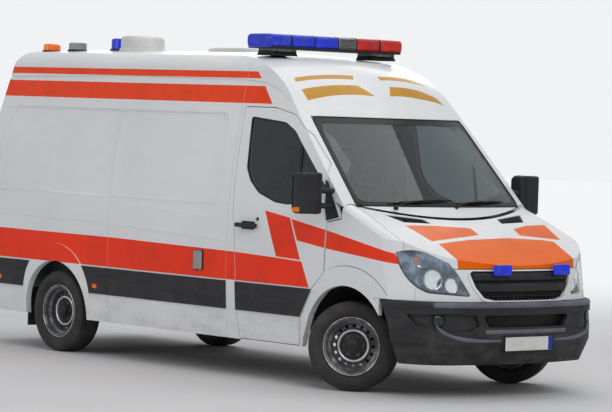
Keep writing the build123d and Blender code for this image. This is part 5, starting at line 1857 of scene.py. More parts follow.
@dataclass
class Nose(Assembly):
    """Bumper's ledges, fog lamps and intake mesh, plate, bonnet vents and painted shade lines round the fenders'
    flares.
    """

    vent: tuple = ((0.128, -0.745), (0.212, -0.4), (0.292, -0.38), (0.268, -0.65))

    @staticmethod
    def bumper_x(y: float) -> float:
        """Place of the bumper's face ahead of the arch at a width.

        Args:
            y: the place across.

        Returns:
            Metres ahead of the arch's centre.
        """
        near = abs(y)
        if near <= 0.62:
            return 1.004 - 0.076 * (near / 0.62) ** 2
        t = (near - 0.62) / 0.38
        return 0.928 - 0.1 * t - 0.328 * t ** 3.4

    def _band(self, form: Form, low: float, high: float, reach: float, proud: float) -> None:
        """A rounded ledge that runs round the bumper between two heights.

        Args:
            form: what the ledge is added to.
            low: its lower edge.
            high: its upper edge.
            reach: how far it runs to each side.
            proud: how far it stands out at its ends.
        """
        rings = []
        for k in range(57):
            y = -reach + 2 * reach * k / 56
            slope = (self.bumper_x(y + 0.004) - self.bumper_x(y - 0.004)) / 0.008
            out = Vector((1.0, -slope, 0.0)).normalized()
            foot = at(self.bumper_x(y), y, 0.0)
            ring = []
            rise = proud * min(max((abs(y) - 0.3) / 0.4, 0.4), 1.0)
            for push, z in ((-0.006, low), (rise * 0.75, low + (high - low) * 0.12),
                    (rise, low + (high - low) * 0.5), (rise * 0.6, low + (high - low) * 0.86), (-0.006, high)):
                ring.append(foot + out * push + Vector((0, 0, z)))
            rings.append(ring)
        form.rings(rings)

    def bumper(self) -> None:
        """Ledges, fog lamp covers, intake mesh and the dark valance."""
        top = Form()
        self._band(top, 0.692, 0.7365, 0.97, 0.013)
        self._band(top, 0.496, 0.534, 0.43, 0.01)
        for sign in (-1, 1):
            line = smooth_path([Vector((self.bumper_x(y) + ARCH_X, sign * y, z))
                for y, z in ((0.828, 0.59), (0.815, 0.545), (0.76, 0.5), (0.64, 0.463), (0.48, 0.448),
                (0.29, 0.447))], 6)
            rings = []
            for i, p in enumerate(line):
                y = abs(p.y)
                size = 0.35 + 0.65 * math.sin(math.pi * min(1.0, (i + 3) / (len(line) + 3)))
                slope = (self.bumper_x(y + 0.004) - self.bumper_x(y - 0.004)) / 0.008
                out = Vector((1.0, -slope * sign, 0.0)).normalized()
                rings.append([p + out * push * size + Vector((0, 0, dz * size))
                    for push, dz in ((-0.006, 0.02), (0.004, 0.017), (0.011, 0.004), (0.01, -0.006),
                    (0.003, -0.016), (-0.006, -0.02))])
            top.rings(rings)
        self.add(top, "bumper_ledge", "bumper_pale", angle=60)
        back = Form()
        rings = []
        for k in range(19):
            y = -0.505 + 1.01 * k / 18
            x = self.bumper_x(y) - 0.066
            rings.append([at(x, y, 0.536), at(x + 0.003, y, 0.536), at(x + 0.003, y, 0.652), at(x, y, 0.652)])
        back.rings(rings)
        self.add(back, "intake_back", "trim_black")
        valance, rings = Form(), []
        low, high = 0.268, 0.288
        for k in range(41):
            y = -0.72 + 1.44 * k / 40
            x = self.bumper_x(y) - 0.06
            rings.append([at(x - 0.05, y, low), at(x, y, low), at(x + 0.006, y, low + 0.01), at(x, y, high),
                at(x - 0.05, y, high)])
        valance.rings(rings)
        self.add(valance, "bumper_valance", "trim_black")
        mesh = Form()
        for k in range(-22, 23):
            y = k * 0.02
            mesh.tube([at(self.bumper_x(y) - 0.045, y, 0.546), at(self.bumper_x(y) - 0.045, y, 0.642)], 0.0022, 5)
        for z in (0.562, 0.582, 0.602, 0.622):
            mesh.tube([at(self.bumper_x(y) - 0.045, y, z) for y in (-0.45 + 0.9 * i / 18 for i in range(19))],
                0.0022, 5)
        self.add(mesh, "intake_mesh", "gloss_black")
        skin = self.skin("front_bumper")
        for side in Side:
            sign = side.value
            label = side.label
            lamp, ring = Form(), Form()
            met = skin.hit((4.2, sign * 0.8, 0.6), BACK)
            if met is None:
                continue
            spot = met[0] + Vector((0.004, 0, 0))
            axis = (1.0, sign * 0.55, 0.0)
            lamp.lathe([(0.04, -0.012), (0.041, 0.002), (0.028, 0.008), (0.01, 0.011), (0.002, 0.0115)], spot,
                axis, 36)
            ring.lathe([(0.042, -0.014), (0.052, -0.014), (0.052, 0.004), (0.046, 0.008), (0.042, 0.004)], spot,
                axis, 36, loop=True)
            self.add(lamp, f"fog_lamp_{label}", "lamp_clear")
            self.add(ring, f"fog_lamp_{label}_ring", "gloss_black")

    def plate(self) -> None:
        """Bare plate's rim, holder, screws and the plain coloured end."""
        rim, screws = Form(), Form()
        flat = oblong(-0.262, 0.365, 0.262, 0.481, 0.014)
        inner = oblong(-0.256, 0.371, 0.256, 0.475, 0.011)
        rings = []
        for loop, x in ((flat, 1.0), (flat, 1.0062), (inner, 1.0062), (inner, 1.0042)):
            rings.append([at(x, y, z) for y, z in loop])
        rim.rings(rings, loop=True)
        self.add(rim, "plate_rim", "gloss_black")
        band = Form()
        band.prism([at(1.0042, y, z) for y, z in oblong(0.208, 0.372, 0.255, 0.474, 0.008)], (0.0006, 0, 0))
        self.add(band, "plate_band", "plate_blue")
        for y in (-0.16, 0.16):
            screws.lathe([(0.006, 0.0), (0.006, 0.0015), (0.004, 0.0025), (0.001, 0.0028)], at(1.0042, y, 0.423),
                AHEAD, 20)
        self.add(screws, "plate_screws", "reflector")

    def bonnet_vents(self) -> None:
        """Black slatted vents let into the bonnet's rear corners."""
        skin = self.skin("bonnet")
        for side in Side:
            sign = -side.value
            corners = [Vector((ARCH_X + x, y * sign, 2.0)) for x, y in self.vent]
            if sign < 0:
                corners.reverse()
            flat = shrunk([c.xy for c in corners], 0.003)
            loop = [Vector((x, y, 2.0)) for x, y in rounded([tuple(p) for p in flat], 0.02, 3)]
            self.add(skin.patch(loop, DOWN, 0.0005, 0.0025, 0.04), f"bonnet_vent_{side.label}", "gloss_black",
                "bonnet")
            slats = Form()
            a, b, c, d = [Vector(p) for p in flat]
            for k in range(1, 9):
                spots = [a.lerp(b, u).lerp(d.lerp(c, u), k / 9) for u in (0.04 + 0.92 * i / 8 for i in range(9))]
                slats.tube(skin.trace([(p.x, p.y, ABOVE) for p in spots], DOWN, 0.0042), 0.0024, 6)
            self.add(slats, f"bonnet_vent_slats_{side.label}", "trim_black", "bonnet")

    def fenders(self) -> None:
        """Dark line round each flare's outside: painted shade where the raised flare steps down to the panel."""
        skin = self.skin("front_fenders", "front_door_right", "front_door_left")
        for side in Side:
            sign = side.value
            angles = (math.radians(43 + 94 * k / 48) for k in range(49))
            spots = [(0.03 + 0.604 * math.cos(a), 0.355 + 0.604 * math.sin(a)) for a in angles]
            line = skin.trace([(ARCH_X + x, sign * BESIDE, z) for x, z in spots if -0.232 < x], (0, -sign, 0),
                0.0002)
            # Dark rubber tube along the flare's edge, painted shade for its step.
            self.add(Form().tube(line, 0.0022, 6), f"flare_joint_{side.label}", "seal_rubber")

    def build(self) -> None:
        """Makes the nose's details."""
        self.bumper()
        self.plate()
        self.bonnet_vents()
        self.fenders()


@dataclass
class SideTrim(Assembly):
    """Door handles' cups and locks, window rubbers, quarter bars, pressings and the side socket's lid."""

    window: tuple = ((-1.268, 2.066), (-0.85, 2.03), (-0.722, 1.965), (-0.268, 1.534), (-0.33, 1.488),
        (-0.56, 1.416), (-0.7, 1.392), (-0.86, 1.404), (-1.066, 1.47), (-1.18, 1.56), (-1.24, 1.66))

    def window_rubber(self, side: Side) -> None:
        """Black rubber round a front door's window.

        Args:
            side: the door's side.
        """
        label = side.label
        skin = self.skin(f"front_door_{label}_glass", f"front_door_{label}")
        loop = rounded(list(self.window), 0.024, 4)
        centre = (sum(p[0] for p in loop) / len(loop), sum(p[1] for p in loop) / len(loop))
        path = skin.trace([(ARCH_X + (x + (centre[0] - x) * 0.012), side.value * 1.4, z + (centre[1] - z) * 0.012)
            for x, z in loop], (0, -side.value, 0), 0.002)
        self.add(Form().tube(path, 0.0075, 8, closed=True), f"window_rubber_{label}", "seal_rubber",
            f"front_door_{label}")

    def handle(self, body: str, side: Side, x_mid: float, label: str) -> None:
        """Recessed cup behind a handle and the lock's round plate above it.

        Args:
            body: the body that it rides on.
            side: its side.
            x_mid: its middle, ahead of the arch.
            label: end of its pieces' names.
        """
        skin = self.skin(f"front_door_{side.label}", "side_door_left")
        flat = oblong(x_mid - 0.085, 1.176, x_mid + 0.085, 1.24, 0.026)
        corners = [Vector((ARCH_X + x, side.value * BESIDE, z)) for x, z in flat]
        cup = skin.patch(corners, (0, -side.value, 0), 0.0003, 0.0012, 0.05)
        self.add(cup, f"handle_cup_{label}", "gloss_black", body)
        met = skin.hit((ARCH_X + x_mid + 0.11, side.value * BESIDE, 1.262), (0, -side.value, 0))
        if met:
            lock = Form()
            lock.lathe([(0.0155, -0.001), (0.0155, 0.002), (0.013, 0.0035), (0.006, 0.0035), (0.0055, 0.0022),
                (0.001, 0.0022)], met[0], met[1], 32)
            self.add(lock, f"lock_{label}", "trim_black", body)

    def quarter_bar(self, side: Side) -> None:
        """Upright bar that parts a front door's quarter light from its main pane.

        Args:
            side: the door's side.
        """
        label = side.label
        skin = self.skin(f"front_door_{label}_glass")
        flat = [(-0.605, 1.405), (-0.575, 1.405), (-0.605, 1.835), (-0.64, 1.862)]
        corners = [Vector((ARCH_X + x, side.value * 1.4, z)) for x, z in flat]
        bar = skin.patch(corners, (0, -side.value, 0), 0.0004, 0.004, 0.06)
        self.add(bar, f"quarter_bar_{label}", "gloss_black", f"front_door_{label}")

    @staticmethod
    def _open_frame(seam: float, end: float, low: float, high: float,
            width: float = 0.016) -> list[tuple[float, float]]:
        """Outline of a rounded frame that is open where the next panel carries it on.

        Args:
            seam: x of its open end, from the front arch.
            end: x of its closed end.
            low: height of its lower edge.
            high: height of its upper edge.
            width: width of its edge.

        Returns:
            Corners of the frame as one closed outline.
        """
        edges = []
        for inset in (0.0, width):
            tip = end - math.copysign(inset, end - seam)
            loop = oblong(seam, low + inset, tip, high - inset, 0.075 - inset, 6)
            edges.append([(seam, low + inset), *loop[7:21], (seam, high - inset)])
        return edges[0] + edges[1][::-1]

    def pressings(self) -> None:
        """Raised edges of the large field pressed into each side, and the crease below it."""
        for side, nodes, seam, ends, creases in ((Side.RIGHT, ("side_panel_right_front", "side_panel_right_rear"),
                -2.95, (-1.525, -4.56), ((-1.525, 1.087, -2.946, 1.142), (-2.954, 1.142, -4.6, 1.165))),
                (Side.LEFT, ("side_door_left", "side_panel_left"), -2.72, (-1.545, -4.56),
                ((-1.76, 1.097, -2.714, 1.133),))):
            skin = self.skin(*nodes)
            outlines = [self._open_frame(seam + math.copysign(0.005, end - seam), end, 1.355, 2.09) for end in ends]
            outlines += [[(x0, z0), (x1, z1), (x1, z1 - 0.012), (x0, z0 - 0.012)] for x0, z0, x1, z1 in creases]
            for k, flat in enumerate(outlines):
                loop = [Vector((ARCH_X + x, side.value * BESIDE, z)) for x, z in flat]
                plate = skin.patch(loop, (0, -side.value, 0), 0.0, 0.0035, 0.08)
                self.add(plate, f"pressing_{side.label}_{k}", "paint_plain", angle=60)

    def right_socket(self) -> None:
        """Lid, hinge and catch of the mains socket on the right side."""
        form = Form()
        x0, x1, z0, z1, y = -1.806, -1.699, 0.823, 0.973, -1.0035
        loop = oblong(x0, z0, x1, z1, 0.014)
        form.prism([at(a, y, b) for a, b in loop], (0, -0.006, 0))
        form.tube([at(x0 + 0.01, y - 0.004, z1 - 0.004), at(x1 - 0.01, y - 0.004, z1 - 0.004)], 0.006, 10)
        form.block(at(-1.765, y - 0.012, z0 + 0.004), at(-1.74, y - 0.002, z0 + 0.022))
        self.add(form, "side_socket_lid", "socket_grey", bevel=0.0015)

    def build(self) -> None:
        """Makes the trim of both sides."""
        for side in Side:
            self.window_rubber(side)
            self.quarter_bar(side)
            label = side.label
            self.handle(f"front_door_{label}", side, -1.155, f"front_{label}")
        self.handle("body", Side.LEFT, -1.56, "sliding")
        self.pressings()
        self.right_socket()


@dataclass
class Seat(Assembly):
    """One front seat: two padded cushions and a head pad with seams and channels, and the box they stand on."""

    side: Side
    y: float = 0.45
    lean: float = 12.0
    voxel: float = 0.01
    cap: float = 0.012
    pads: tuple = (("cushion", (-0.91, 0.868), (0.262, 0.238, 0.06), 0.0, "top"),
        ("back", (-1.2, 1.235), (0.055, 0.233, 0.312), 12.0, "front"),
        ("head_pad", (-1.275, 1.61), (0.04, 0.128, 0.069), 12.0, "front"))

    @staticmethod
    def shape(half: Point, count: int = 14) -> bmesh.types.BMesh:
        """A crowned closed pad whose sides pull in between its corners.

        Args:
            half: half of its length, width and height.
            count: squares along each side of the starting net.

        Returns:
            The pad's mesh about the origin.
        """
        bm = bmesh.new()
        bmesh.ops.create_cube(bm, size=2.0)
        bmesh.ops.subdivide_edges(bm, edges=bm.edges[:], cuts=count, use_grid_fill=True)
        for vert in bm.verts:
            c = vert.co
            norm = sum(abs(v) ** 7 for v in c) ** (1 / 7)
            c /= norm
            waist = 1.0 - 0.035 * (1 - c.x * c.x) * abs(c.y) - 0.02 * (1 - c.y * c.y) * abs(c.x)
            c *= waist
            vert.co = Vector((c.x * half[0], c.y * half[1], c.z * half[2]))
        return bm

    def swollen(self, label: str, half: Point) -> bpy.types.Mesh:
        """Args:
            label: name of the pad.
            half: half of its length, width and height.

        Returns:
            The filled pad's mesh about the origin.
        """
        bm = self.shape(half)
        mesh = bpy.data.meshes.new(f"pad_{label}")
        bm.to_mesh(mesh)
        bm.free()
        obj = bpy.data.objects.new(f"pad_{label}", mesh)
        scene = bpy.context.scene
        scene.collection.objects.link(obj)
        net = obj.modifiers.new("net", "REMESH")
        net.mode, net.voxel_size = "VOXEL", self.voxel
        start = self._applied(obj)
        obj.modifiers.clear()
        obj.data = start
        cloth = obj.modifiers.new("filling", "CLOTH")
        cloth.settings.use_pressure = True
        cloth.settings.uniform_pressure_force = 4.0
        cloth.settings.effector_weights.gravity = 0.0
        cloth.settings.quality = 4
        for step in range(1, 21):
            scene.frame_set(step)
        end = self._applied(obj)
        for vert, rest in zip(end.vertices, start.vertices):
            move = vert.co - rest.co
            if move.length > self.cap:
                vert.co = rest.co + move.normalized() * self.cap
        obj.modifiers.clear()
        obj.data = end
        scene.frame_set(1)
        fine = obj.modifiers.new("smooth", "SUBSURF")
        fine.levels = fine.render_levels = 1
        final = self._applied(obj)
        bpy.data.objects.remove(obj)
        return final

    @staticmethod
    def _applied(obj: bpy.types.Object) -> bpy.types.Mesh:
        """A copy of obj's mesh with its modifiers applied."""
        seen = obj.evaluated_get(bpy.context.evaluated_depsgraph_get())
        return bpy.data.meshes.new_from_object(seen)

    @staticmethod
    def channels(half: Point, face: str) -> list[tuple[Vector, Vector]]:
        """Seams and sewn channels of a pad, as lines about the origin on the face that is sat against.

        Args:
            half: half of the pad's size.
            face: top for a cushion, otherwise a back.

        Returns:
            Both ends of each line.
        """
        if face == "top":
            y, x = half[1] * 0.62, half[0] * 0.9
            lines = [(Vector((-x, s * y, 1.0)), Vector((x, s * y, 1.0))) for s in (-1, 1)]
            lines += [(Vector((d, -y, 1.0)), Vector((d, y, 1.0))) for d in (-half[0] * 0.33, half[0] * 0.33)]
            return lines
        y, z = half[1] * 0.64, half[2] * 0.88
        lines = [(Vector((1.0, s * y, -z)), Vector((1.0, s * y, z))) for s in (-1, 1)]
        steps = (-0.45, 0.0, 0.45) if half[2] > 0.2 else ()
        return lines + [(Vector((1.0, -y, d * half[2])), Vector((1.0, y, d * half[2]))) for d in steps]

    def sew(self, mesh: bpy.types.Mesh, half: Point, face: str) -> list[list[Vector]]:
        """Draws the surface in along the seams and returns each seam's line on it.

        Args:
            mesh: the pad's mesh, changed in place.
            half: half of its length, width and height.
            face: the side that is sat against.

        Returns:
            Points along each seam, on the surface.
        """
        axis = 2 if face == "top" else 0
        flat = [i for i in (0, 1, 2) if i != axis]
        lines = self.channels(half, face)
        for vert in mesh.vertices:
            if vert.co[axis] < half[axis] * 0.25:
                continue
            spot = Vector((vert.co[flat[0]], vert.co[flat[1]]))
            near = min((spot - geometry.intersect_point_line(spot.to_3d(), Vector((a[flat[0]], a[flat[1]], 0)),
                Vector((b[flat[0]], b[flat[1]], 0)))[0].xy).length if self._within(spot, a, b, flat) else 1.0
                for a, b in lines)
            depth = 0.009 * math.exp(-(near / 0.012) ** 2) - 0.003 * math.exp(-((near - 0.04) / 0.02) ** 2)
            vert.co[axis] -= depth
        tree = BVHTree.FromPolygons([v.co.copy() for v in mesh.vertices], [list(p.vertices) for p in mesh.polygons])
        push = Vector(DOWN) if axis == 2 else Vector(BACK)
        found = []
        for a, b in lines:
            path = []
            for k in range(25):
                hit = tree.ray_cast(a.lerp(b, k / 24), push)[0]
                if hit is not None:
                    path.append(hit - push * 0.0004)
            found.append(path)
        return found

    @staticmethod
    def _within(spot: Vector, a: Vector, b: Vector, flat: Sequence[int]) -> bool:
        """Whether a flat spot lies beside the line from a to b and not past its ends.

        Args:
            spot: the place.
            a: the line's start.
            b: the line's end.
            flat: the two axes that count.

        Returns:
            True beside the line.
        """
        start, end = Vector((a[flat[0]], a[flat[1]])), Vector((b[flat[0]], b[flat[1]]))
        share = (spot - start).dot(end - start) / (end - start).length_squared
        return -0.03 < share < 1.03

    def base(self) -> None:
        """Seat box with a skirt, the lever at its side and the head pad's posts."""
        label = self.side.label
        y = self.side.value * self.y
        form = Form()
        rings = []
        for grow, z in ((0.0, 0.562), (0.0, 0.6), (-0.018, 0.625), (-0.018, 0.76), (-0.006, 0.788),
                (-0.006, 0.802)):
            loop = oblong(-1.13 - grow, y - 0.2 - grow, -0.7 + grow, y + 0.2 + grow, 0.03, 4)
            rings.append([at(a, b, z) for a, b in loop])
        form.rings(rings)
        form.tube(smooth_path([at(-0.8, y - 0.205, 0.72), at(-0.74, y - 0.222, 0.73), at(-0.66, y - 0.222, 0.752)],
            5), 0.008, 8)
        self.add(form, f"seat_{label}_box", "dash_grey", bevel=0.003)
        posts = Form()
        lean = math.radians(self.lean)
        for dy in (-0.07, 0.07):
            foot, top = at(-1.262, y + dy, 1.525), at(-1.29, y + dy, 1.6)
            posts.tube([foot - Vector((-math.sin(lean), 0, math.cos(lean))) * 0.04, foot, top], 0.007, 10)
        self.add(posts, f"seat_{label}_posts", "rim_bright")

    def build(self, meshes: dict) -> None:
        """Makes the seat's pieces from the filled pads' meshes.

        Args:
            meshes: mesh and seams of each pad by name.
        """
        label = self.side.label
        y = self.side.value * self.y
        for name, (x, z), _, lean, _ in self.pads:
            mesh, seams = meshes[name]
            place = Matrix.Translation(at(x, y, z)) @ Matrix.Rotation(math.radians(-lean), 4, "Y")
            copy = mesh.copy()
            copy.transform(place)
            for polygon in copy.polygons:
                polygon.use_smooth = True
            pad = bpy.data.objects.new(f"seat_{label}_{name}", copy)
            bpy.context.scene.collection.objects.link(pad)
            self.finishes.coat(pad, "seat_cloth")
            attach(pad, "body")
            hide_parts("front_seats")
            self.finishes.slot("seat_cloth")
            LOG.info("%s: %d faces on body", pad.name, len(copy.polygons))
            piping = Form()
            for seam in seams:
                if len(seam) > 2:
                    piping.tube([place @ p for p in seam], 0.0022, 6)
            self.add(piping, f"seat_{label}_{name}_seams", "seat_side")
        self.base()

    def meshes(self) -> dict:
        """Fills and sews each pad once, for both seats.

        Returns:
            Mesh and seams of each pad by name.
        """
        made = {}
        for name, _, half, _, face in self.pads:
            mesh = self.swollen(name, half)
            made[name] = (mesh, self.sew(mesh, half, face))
        return made


@dataclass
class Cab(Assembly):
    """Steering wheel's grip and pad, dashboard's instruments and vents, gear lever, pedals, visors and belts."""

    wheel_at: Point = (-0.57, -0.45, 1.215)
    tilt: float = 28.0
    hoop: float = 0.195

    def steering(self) -> None:
        """Grip sleeves, horn pad, column cowl and stalks."""
        lean = math.radians(self.tilt)
        axis = Vector((-math.cos(lean), 0.0, math.sin(lean)))
        centre = at(*self.wheel_at)
        turn = frame_of(axis)
        grip = Form()
        for start, end in ((20, 160), (200, 340)):
            path = []
            for k in range(25):
                a = math.radians(start + (end - start) * k / 24)
                path.append(centre + turn @ Vector((self.hoop * math.cos(a), self.hoop * math.sin(a), 0.0)))
            grip.tube(path, 0.0163, 12)
        grip.lathe([(0.03, 0.02), (0.062, 0.026), (0.066, 0.034), (0.058, 0.043), (0.03, 0.048), (0.004, 0.0485)],
            centre, axis, 40)
        grip.lathe([(0.016, 0.0486), (0.018, 0.05), (0.016, 0.0514), (0.014, 0.05)], centre, axis, 32, loop=True)
        self.add(grip, "steering_grip", "trim_black")
        cowl = Form()
        cowl.lathe([(0.05, -0.012), (0.054, -0.03), (0.048, -0.07), (0.04, -0.112)], centre, axis, 32)
        for s in (-1, 1):
            hub = centre - axis * 0.04
            cowl.tube(smooth_path([hub + Vector((0, s * 0.04, 0)), hub + Vector((-0.004, s * 0.1, 0.006)),
                hub + Vector((-0.01, s * 0.165, 0.004))], 5), 0.0065, 8)
        self.add(cowl, "steering_cowl", "dash_grey")

    def dashboard(self) -> None:
        """Instrument hood with two dials, four vents, radio, switches, glovebox lid and the padded top's joint."""
        hood, dials, dark, pale = Form(), Form(), Form(), Form()
        hood.rings([[at(x, y, z) for x, z in ((-0.345, 1.262), (-0.352, 1.285 + 0.035 * lift),
            (-0.325, 1.3 + 0.058 * lift), (-0.25, 1.306 + 0.052 * lift), (-0.16, 1.312), (-0.18, 1.3))]
            for y, lift in ((-0.64, 0.0), (-0.61, 0.7), (-0.55, 1.0), (-0.35, 1.0), (-0.29, 0.7), (-0.26, 0.0))])
        self.add(hood, "instrument_hood", "dash_grey", angle=50)
        slope = Vector((-0.786, 0.0, 0.618))
        for y in (-0.53, -0.37):
            centre = at(-0.3905, y, 1.2205) + slope * 0.001
            dials.lathe([(0.062, 0.0), (0.064, 0.008), (0.059, 0.01), (0.057, 0.004)], centre, slope, 40, loop=True)
            for k in range(11):
                a = math.radians(-35 + 25 * k)
                turn = frame_of(slope)
                tip = [centre + turn @ Vector((r * math.cos(a), r * math.sin(a), 0.003)) for r in (0.044, 0.053)]
                dials.tube(tip, 0.0011, 4)
        self.add(dials, "instrument_dials", "rim_bright")
        for y in (-0.76, -0.19, 0.08, 0.76):
            for k in range(5):
                z = 1.215 + 0.012 * k
                x = -0.3905 - (1.2205 - z) * 0.786
                dark.block(at(x - 0.004, y - 0.055, z - 0.0035), at(x + 0.006, y + 0.055, z + 0.0035))
            ring = oblong(y - 0.064, 1.196, y + 0.064, 1.282, 0.02)
            pale.tube([at(-0.3925 - (1.2205 - z) * 0.786, yy, z) for yy, z in ring], 0.004, 6, closed=True)
        outline = oblong(-0.1, 1.035, 0.1, 1.135, 0.012)
        dark.prism([at(-0.4405, y, z) for y, z in outline], (-0.005, 0, 0))
        for k in range(4):
            dark.lathe([(0.012, 0.0), (0.011, 0.012), (0.003, 0.014)], at(-0.4455, -0.066 + 0.044 * k, 1.005),
                BACK, 20)
        self.add(dark, "dash_vents", "gloss_black", bevel=0.001)
        lid = oblong(0.26, 0.985, 0.8, 1.13, 0.02)
        pale.prism([at(-0.4402, y, z) for y, z in lid], (-0.006, 0, 0))
        pale.tube([at(-0.28, y, 1.3015) for y in (-0.84 + 0.07 * k for k in range(25))], 0.003, 6)
        pale.block(at(-0.452, 0.5, 1.105), at(-0.444, 0.58, 1.118))
        self.add(pale, "dash_trim", "dash_grey", bevel=0.0015)

    def controls(self) -> None:
        """Gear lever on its console, three pedals and the floor mat's ribs."""
        lever = Form()
        lever.rings([[at(-0.47 + sx * w, sy * d, z) for sx, sy in ((-1, -1), (1, -1), (1, 1), (-1, 1))]
            for w, d, z in ((0.03, 0.085, 0.94), (0.04, 0.085, 0.985), (0.05, 0.07, 1.03))])
        lever.tube(smooth_path([at(-0.49, 0.0, 1.03), at(-0.535, 0.0, 1.075), at(-0.56, 0.0, 1.12)], 5), 0.008, 8)
        lever.lathe([(0.01, -0.01), (0.022, 0.006), (0.025, 0.024), (0.018, 0.04), (0.004, 0.046)],
            at(-0.56, 0.0, 1.11), (-0.4, 0, 1), 24)
        self.add(lever, "gear_lever", "trim_black")
        pedals = Form()
        for y in (-0.57, -0.44, -0.33):
            pedals.tube(smooth_path([at(-0.47, y, 0.93), at(-0.55, y, 0.8), at(-0.585, y, 0.72)], 5), 0.008, 8)
            pad = oblong(y - 0.032, 0.665, y + 0.032, 0.73, 0.01)
            pedals.prism([at(-0.6 + (z - 0.7) * 0.4, yy, z) for yy, z in pad], (0.01, 0, 0.004))
            for k in range(4):
                pedals.block(at(-0.612 + k * 0.006, y - 0.026, 0.676 + 0.014 * k),
                    at(-0.602 + k * 0.006, y + 0.026, 0.681 + 0.014 * k))
        self.add(pedals, "pedals", "trim_black", bevel=0.001)
        mat = Form()
        for s in (-1, 1):
            for k in range(22):
                x = -0.68 + 0.0095 * k
                mat.block(at(x, s * 0.46 - 0.2, 0.5595), at(x + 0.004, s * 0.46 + 0.2, 0.564))
        self.add(mat, "floor_mats", "trim_black")

    def overhead(self) -> None:
        """Sun visors with their pins and the belts on the pillars."""
        visors = Form()
        for s in (-1, 1):
            y = s * 0.42
            loop = oblong(y - 0.2, 0.0, y + 0.2, 0.125, 0.03)
            visors.prism([at(-0.735 - 0.9 * z, yy, 2.07 + 0.34 * z) for yy, z in loop], (-0.006, 0, 0.016))
            visors.tube([at(-0.732, y - 0.2, 2.078), at(-0.732, y + 0.2, 2.078)], 0.006, 8)
        self.add(visors, "sun_visors", "lining_grey", bevel=0.004)
        belts = Form()
        for s in (-1, 1):
            points = smooth_path([at(-1.4, s * 0.86, 1.78), at(-1.395, s * 0.845, 1.35), at(-1.38, s * 0.8, 0.9),
                at(-1.37, s * 0.77, 0.62)], 6)
            rings = [[p + Vector((dx, dy, 0)) for dx, dy in ((-0.001, -0.023), (0.001, -0.023), (0.001, 0.023),
                (-0.001, 0.023))] for p in points]
            belts.rings(rings)
            belts.block(at(-1.416, s * 0.86 - 0.03, 1.765), at(-1.396, s * 0.86 + 0.03, 1.815))
            belts.block(at(-1.372, s * 0.7 - 0.012, 0.7), at(-1.352, s * 0.7 + 0.012, 0.76))
        self.add(belts, "seat_belts", "trim_black", bevel=0.001)

    def build(self) -> None:
        """Makes the cab's fittings."""
        self.steering()
        self.dashboard()
        self.controls()
        self.overhead()


@dataclass
class DoorLining(Assembly):
    """Inner board of a front door with its arm rest, pocket, loudspeaker and handle."""

    side: Side

    def build(self) -> None:
        """Makes the door's inside."""
        label = self.side.label
        sign = self.side.value
        skin = self.skin(f"front_door_{label}")
        flat = rounded([(-1.24, 0.66), (-0.5, 0.66), (-0.42, 0.8), (-0.4, 1.24), (-0.62, 1.33), (-1.24, 1.4)], 0.04)
        corners = [Vector((ARCH_X + x, sign * 0.3, z)) for x, z in flat]
        board = skin.patch(corners, (0, sign, 0), 0.0005, 0.0035, 0.06)
        self.add(board, f"door_{label}_board", "dash_grey", f"front_door_{label}")
        met = skin.hit((ARCH_X - 0.85, sign * 0.3, 1.05), (0, sign, 0))
        if met is None:
            return
        y = abs(met[0].y) - 0.004
        rest = Form()
        rings = []
        for x, deep in ((-1.16, 0.3), (-1.12, 0.9), (-0.8, 1.0), (-0.66, 0.8), (-0.6, 0.2)):
            rings.append([at(x, sign * (y - d * deep), z) for d, z in ((0.0, 1.0), (0.04, 1.012), (0.048, 1.035),
                (0.04, 1.058), (0.0, 1.066))])
        rest.rings(rings)
        self.add(rest, f"door_{label}_arm_rest", "trim_black", f"front_door_{label}", angle=60)
        pocket = Form()
        rings = []
        for x, deep in ((-1.2, 0.4), (-1.16, 1.0), (-0.62, 1.0), (-0.56, 0.4)):
            rings.append([at(x, sign * (y - d * deep), z) for d, z in ((0.0, 0.7), (0.045, 0.7), (0.06, 0.84),
                (0.052, 0.845), (0.04, 0.73), (0.0, 0.73))])
        pocket.rings(rings)
        self.add(pocket, f"door_{label}_pocket", "dash_grey", f"front_door_{label}", angle=50)
        speaker = Form()
        spot = at(-0.6, sign * (y + 0.0005), 0.93)
        for r in (0.07, 0.058, 0.046, 0.034, 0.022, 0.01):
            speaker.lathe([(r - 0.002, -0.002), (r, 0.004), (r + 0.002, -0.002)], spot, (0, -sign, 0), 40,
                loop=True)
        handle = [at(-0.7, sign * y, 1.175), at(-0.712, sign * (y - 0.02), 1.182),
            at(-0.79, sign * (y - 0.022), 1.19), at(-0.806, sign * y, 1.196)]
        speaker.tube(smooth_path(handle, 5), 0.007, 8)
        crank = at(-0.93, sign * y, 1.155)
        speaker.lathe([(0.02, -0.002), (0.018, 0.014), (0.004, 0.016)], crank, (0, -sign, 0), 24)
        speaker.tube([crank + Vector((0, -sign * 0.016, 0)), crank + Vector((-0.07, -sign * 0.026, -0.03))], 0.006,
            8)
        self.add(speaker, f"door_{label}_speaker", "trim_black", f"front_door_{label}")


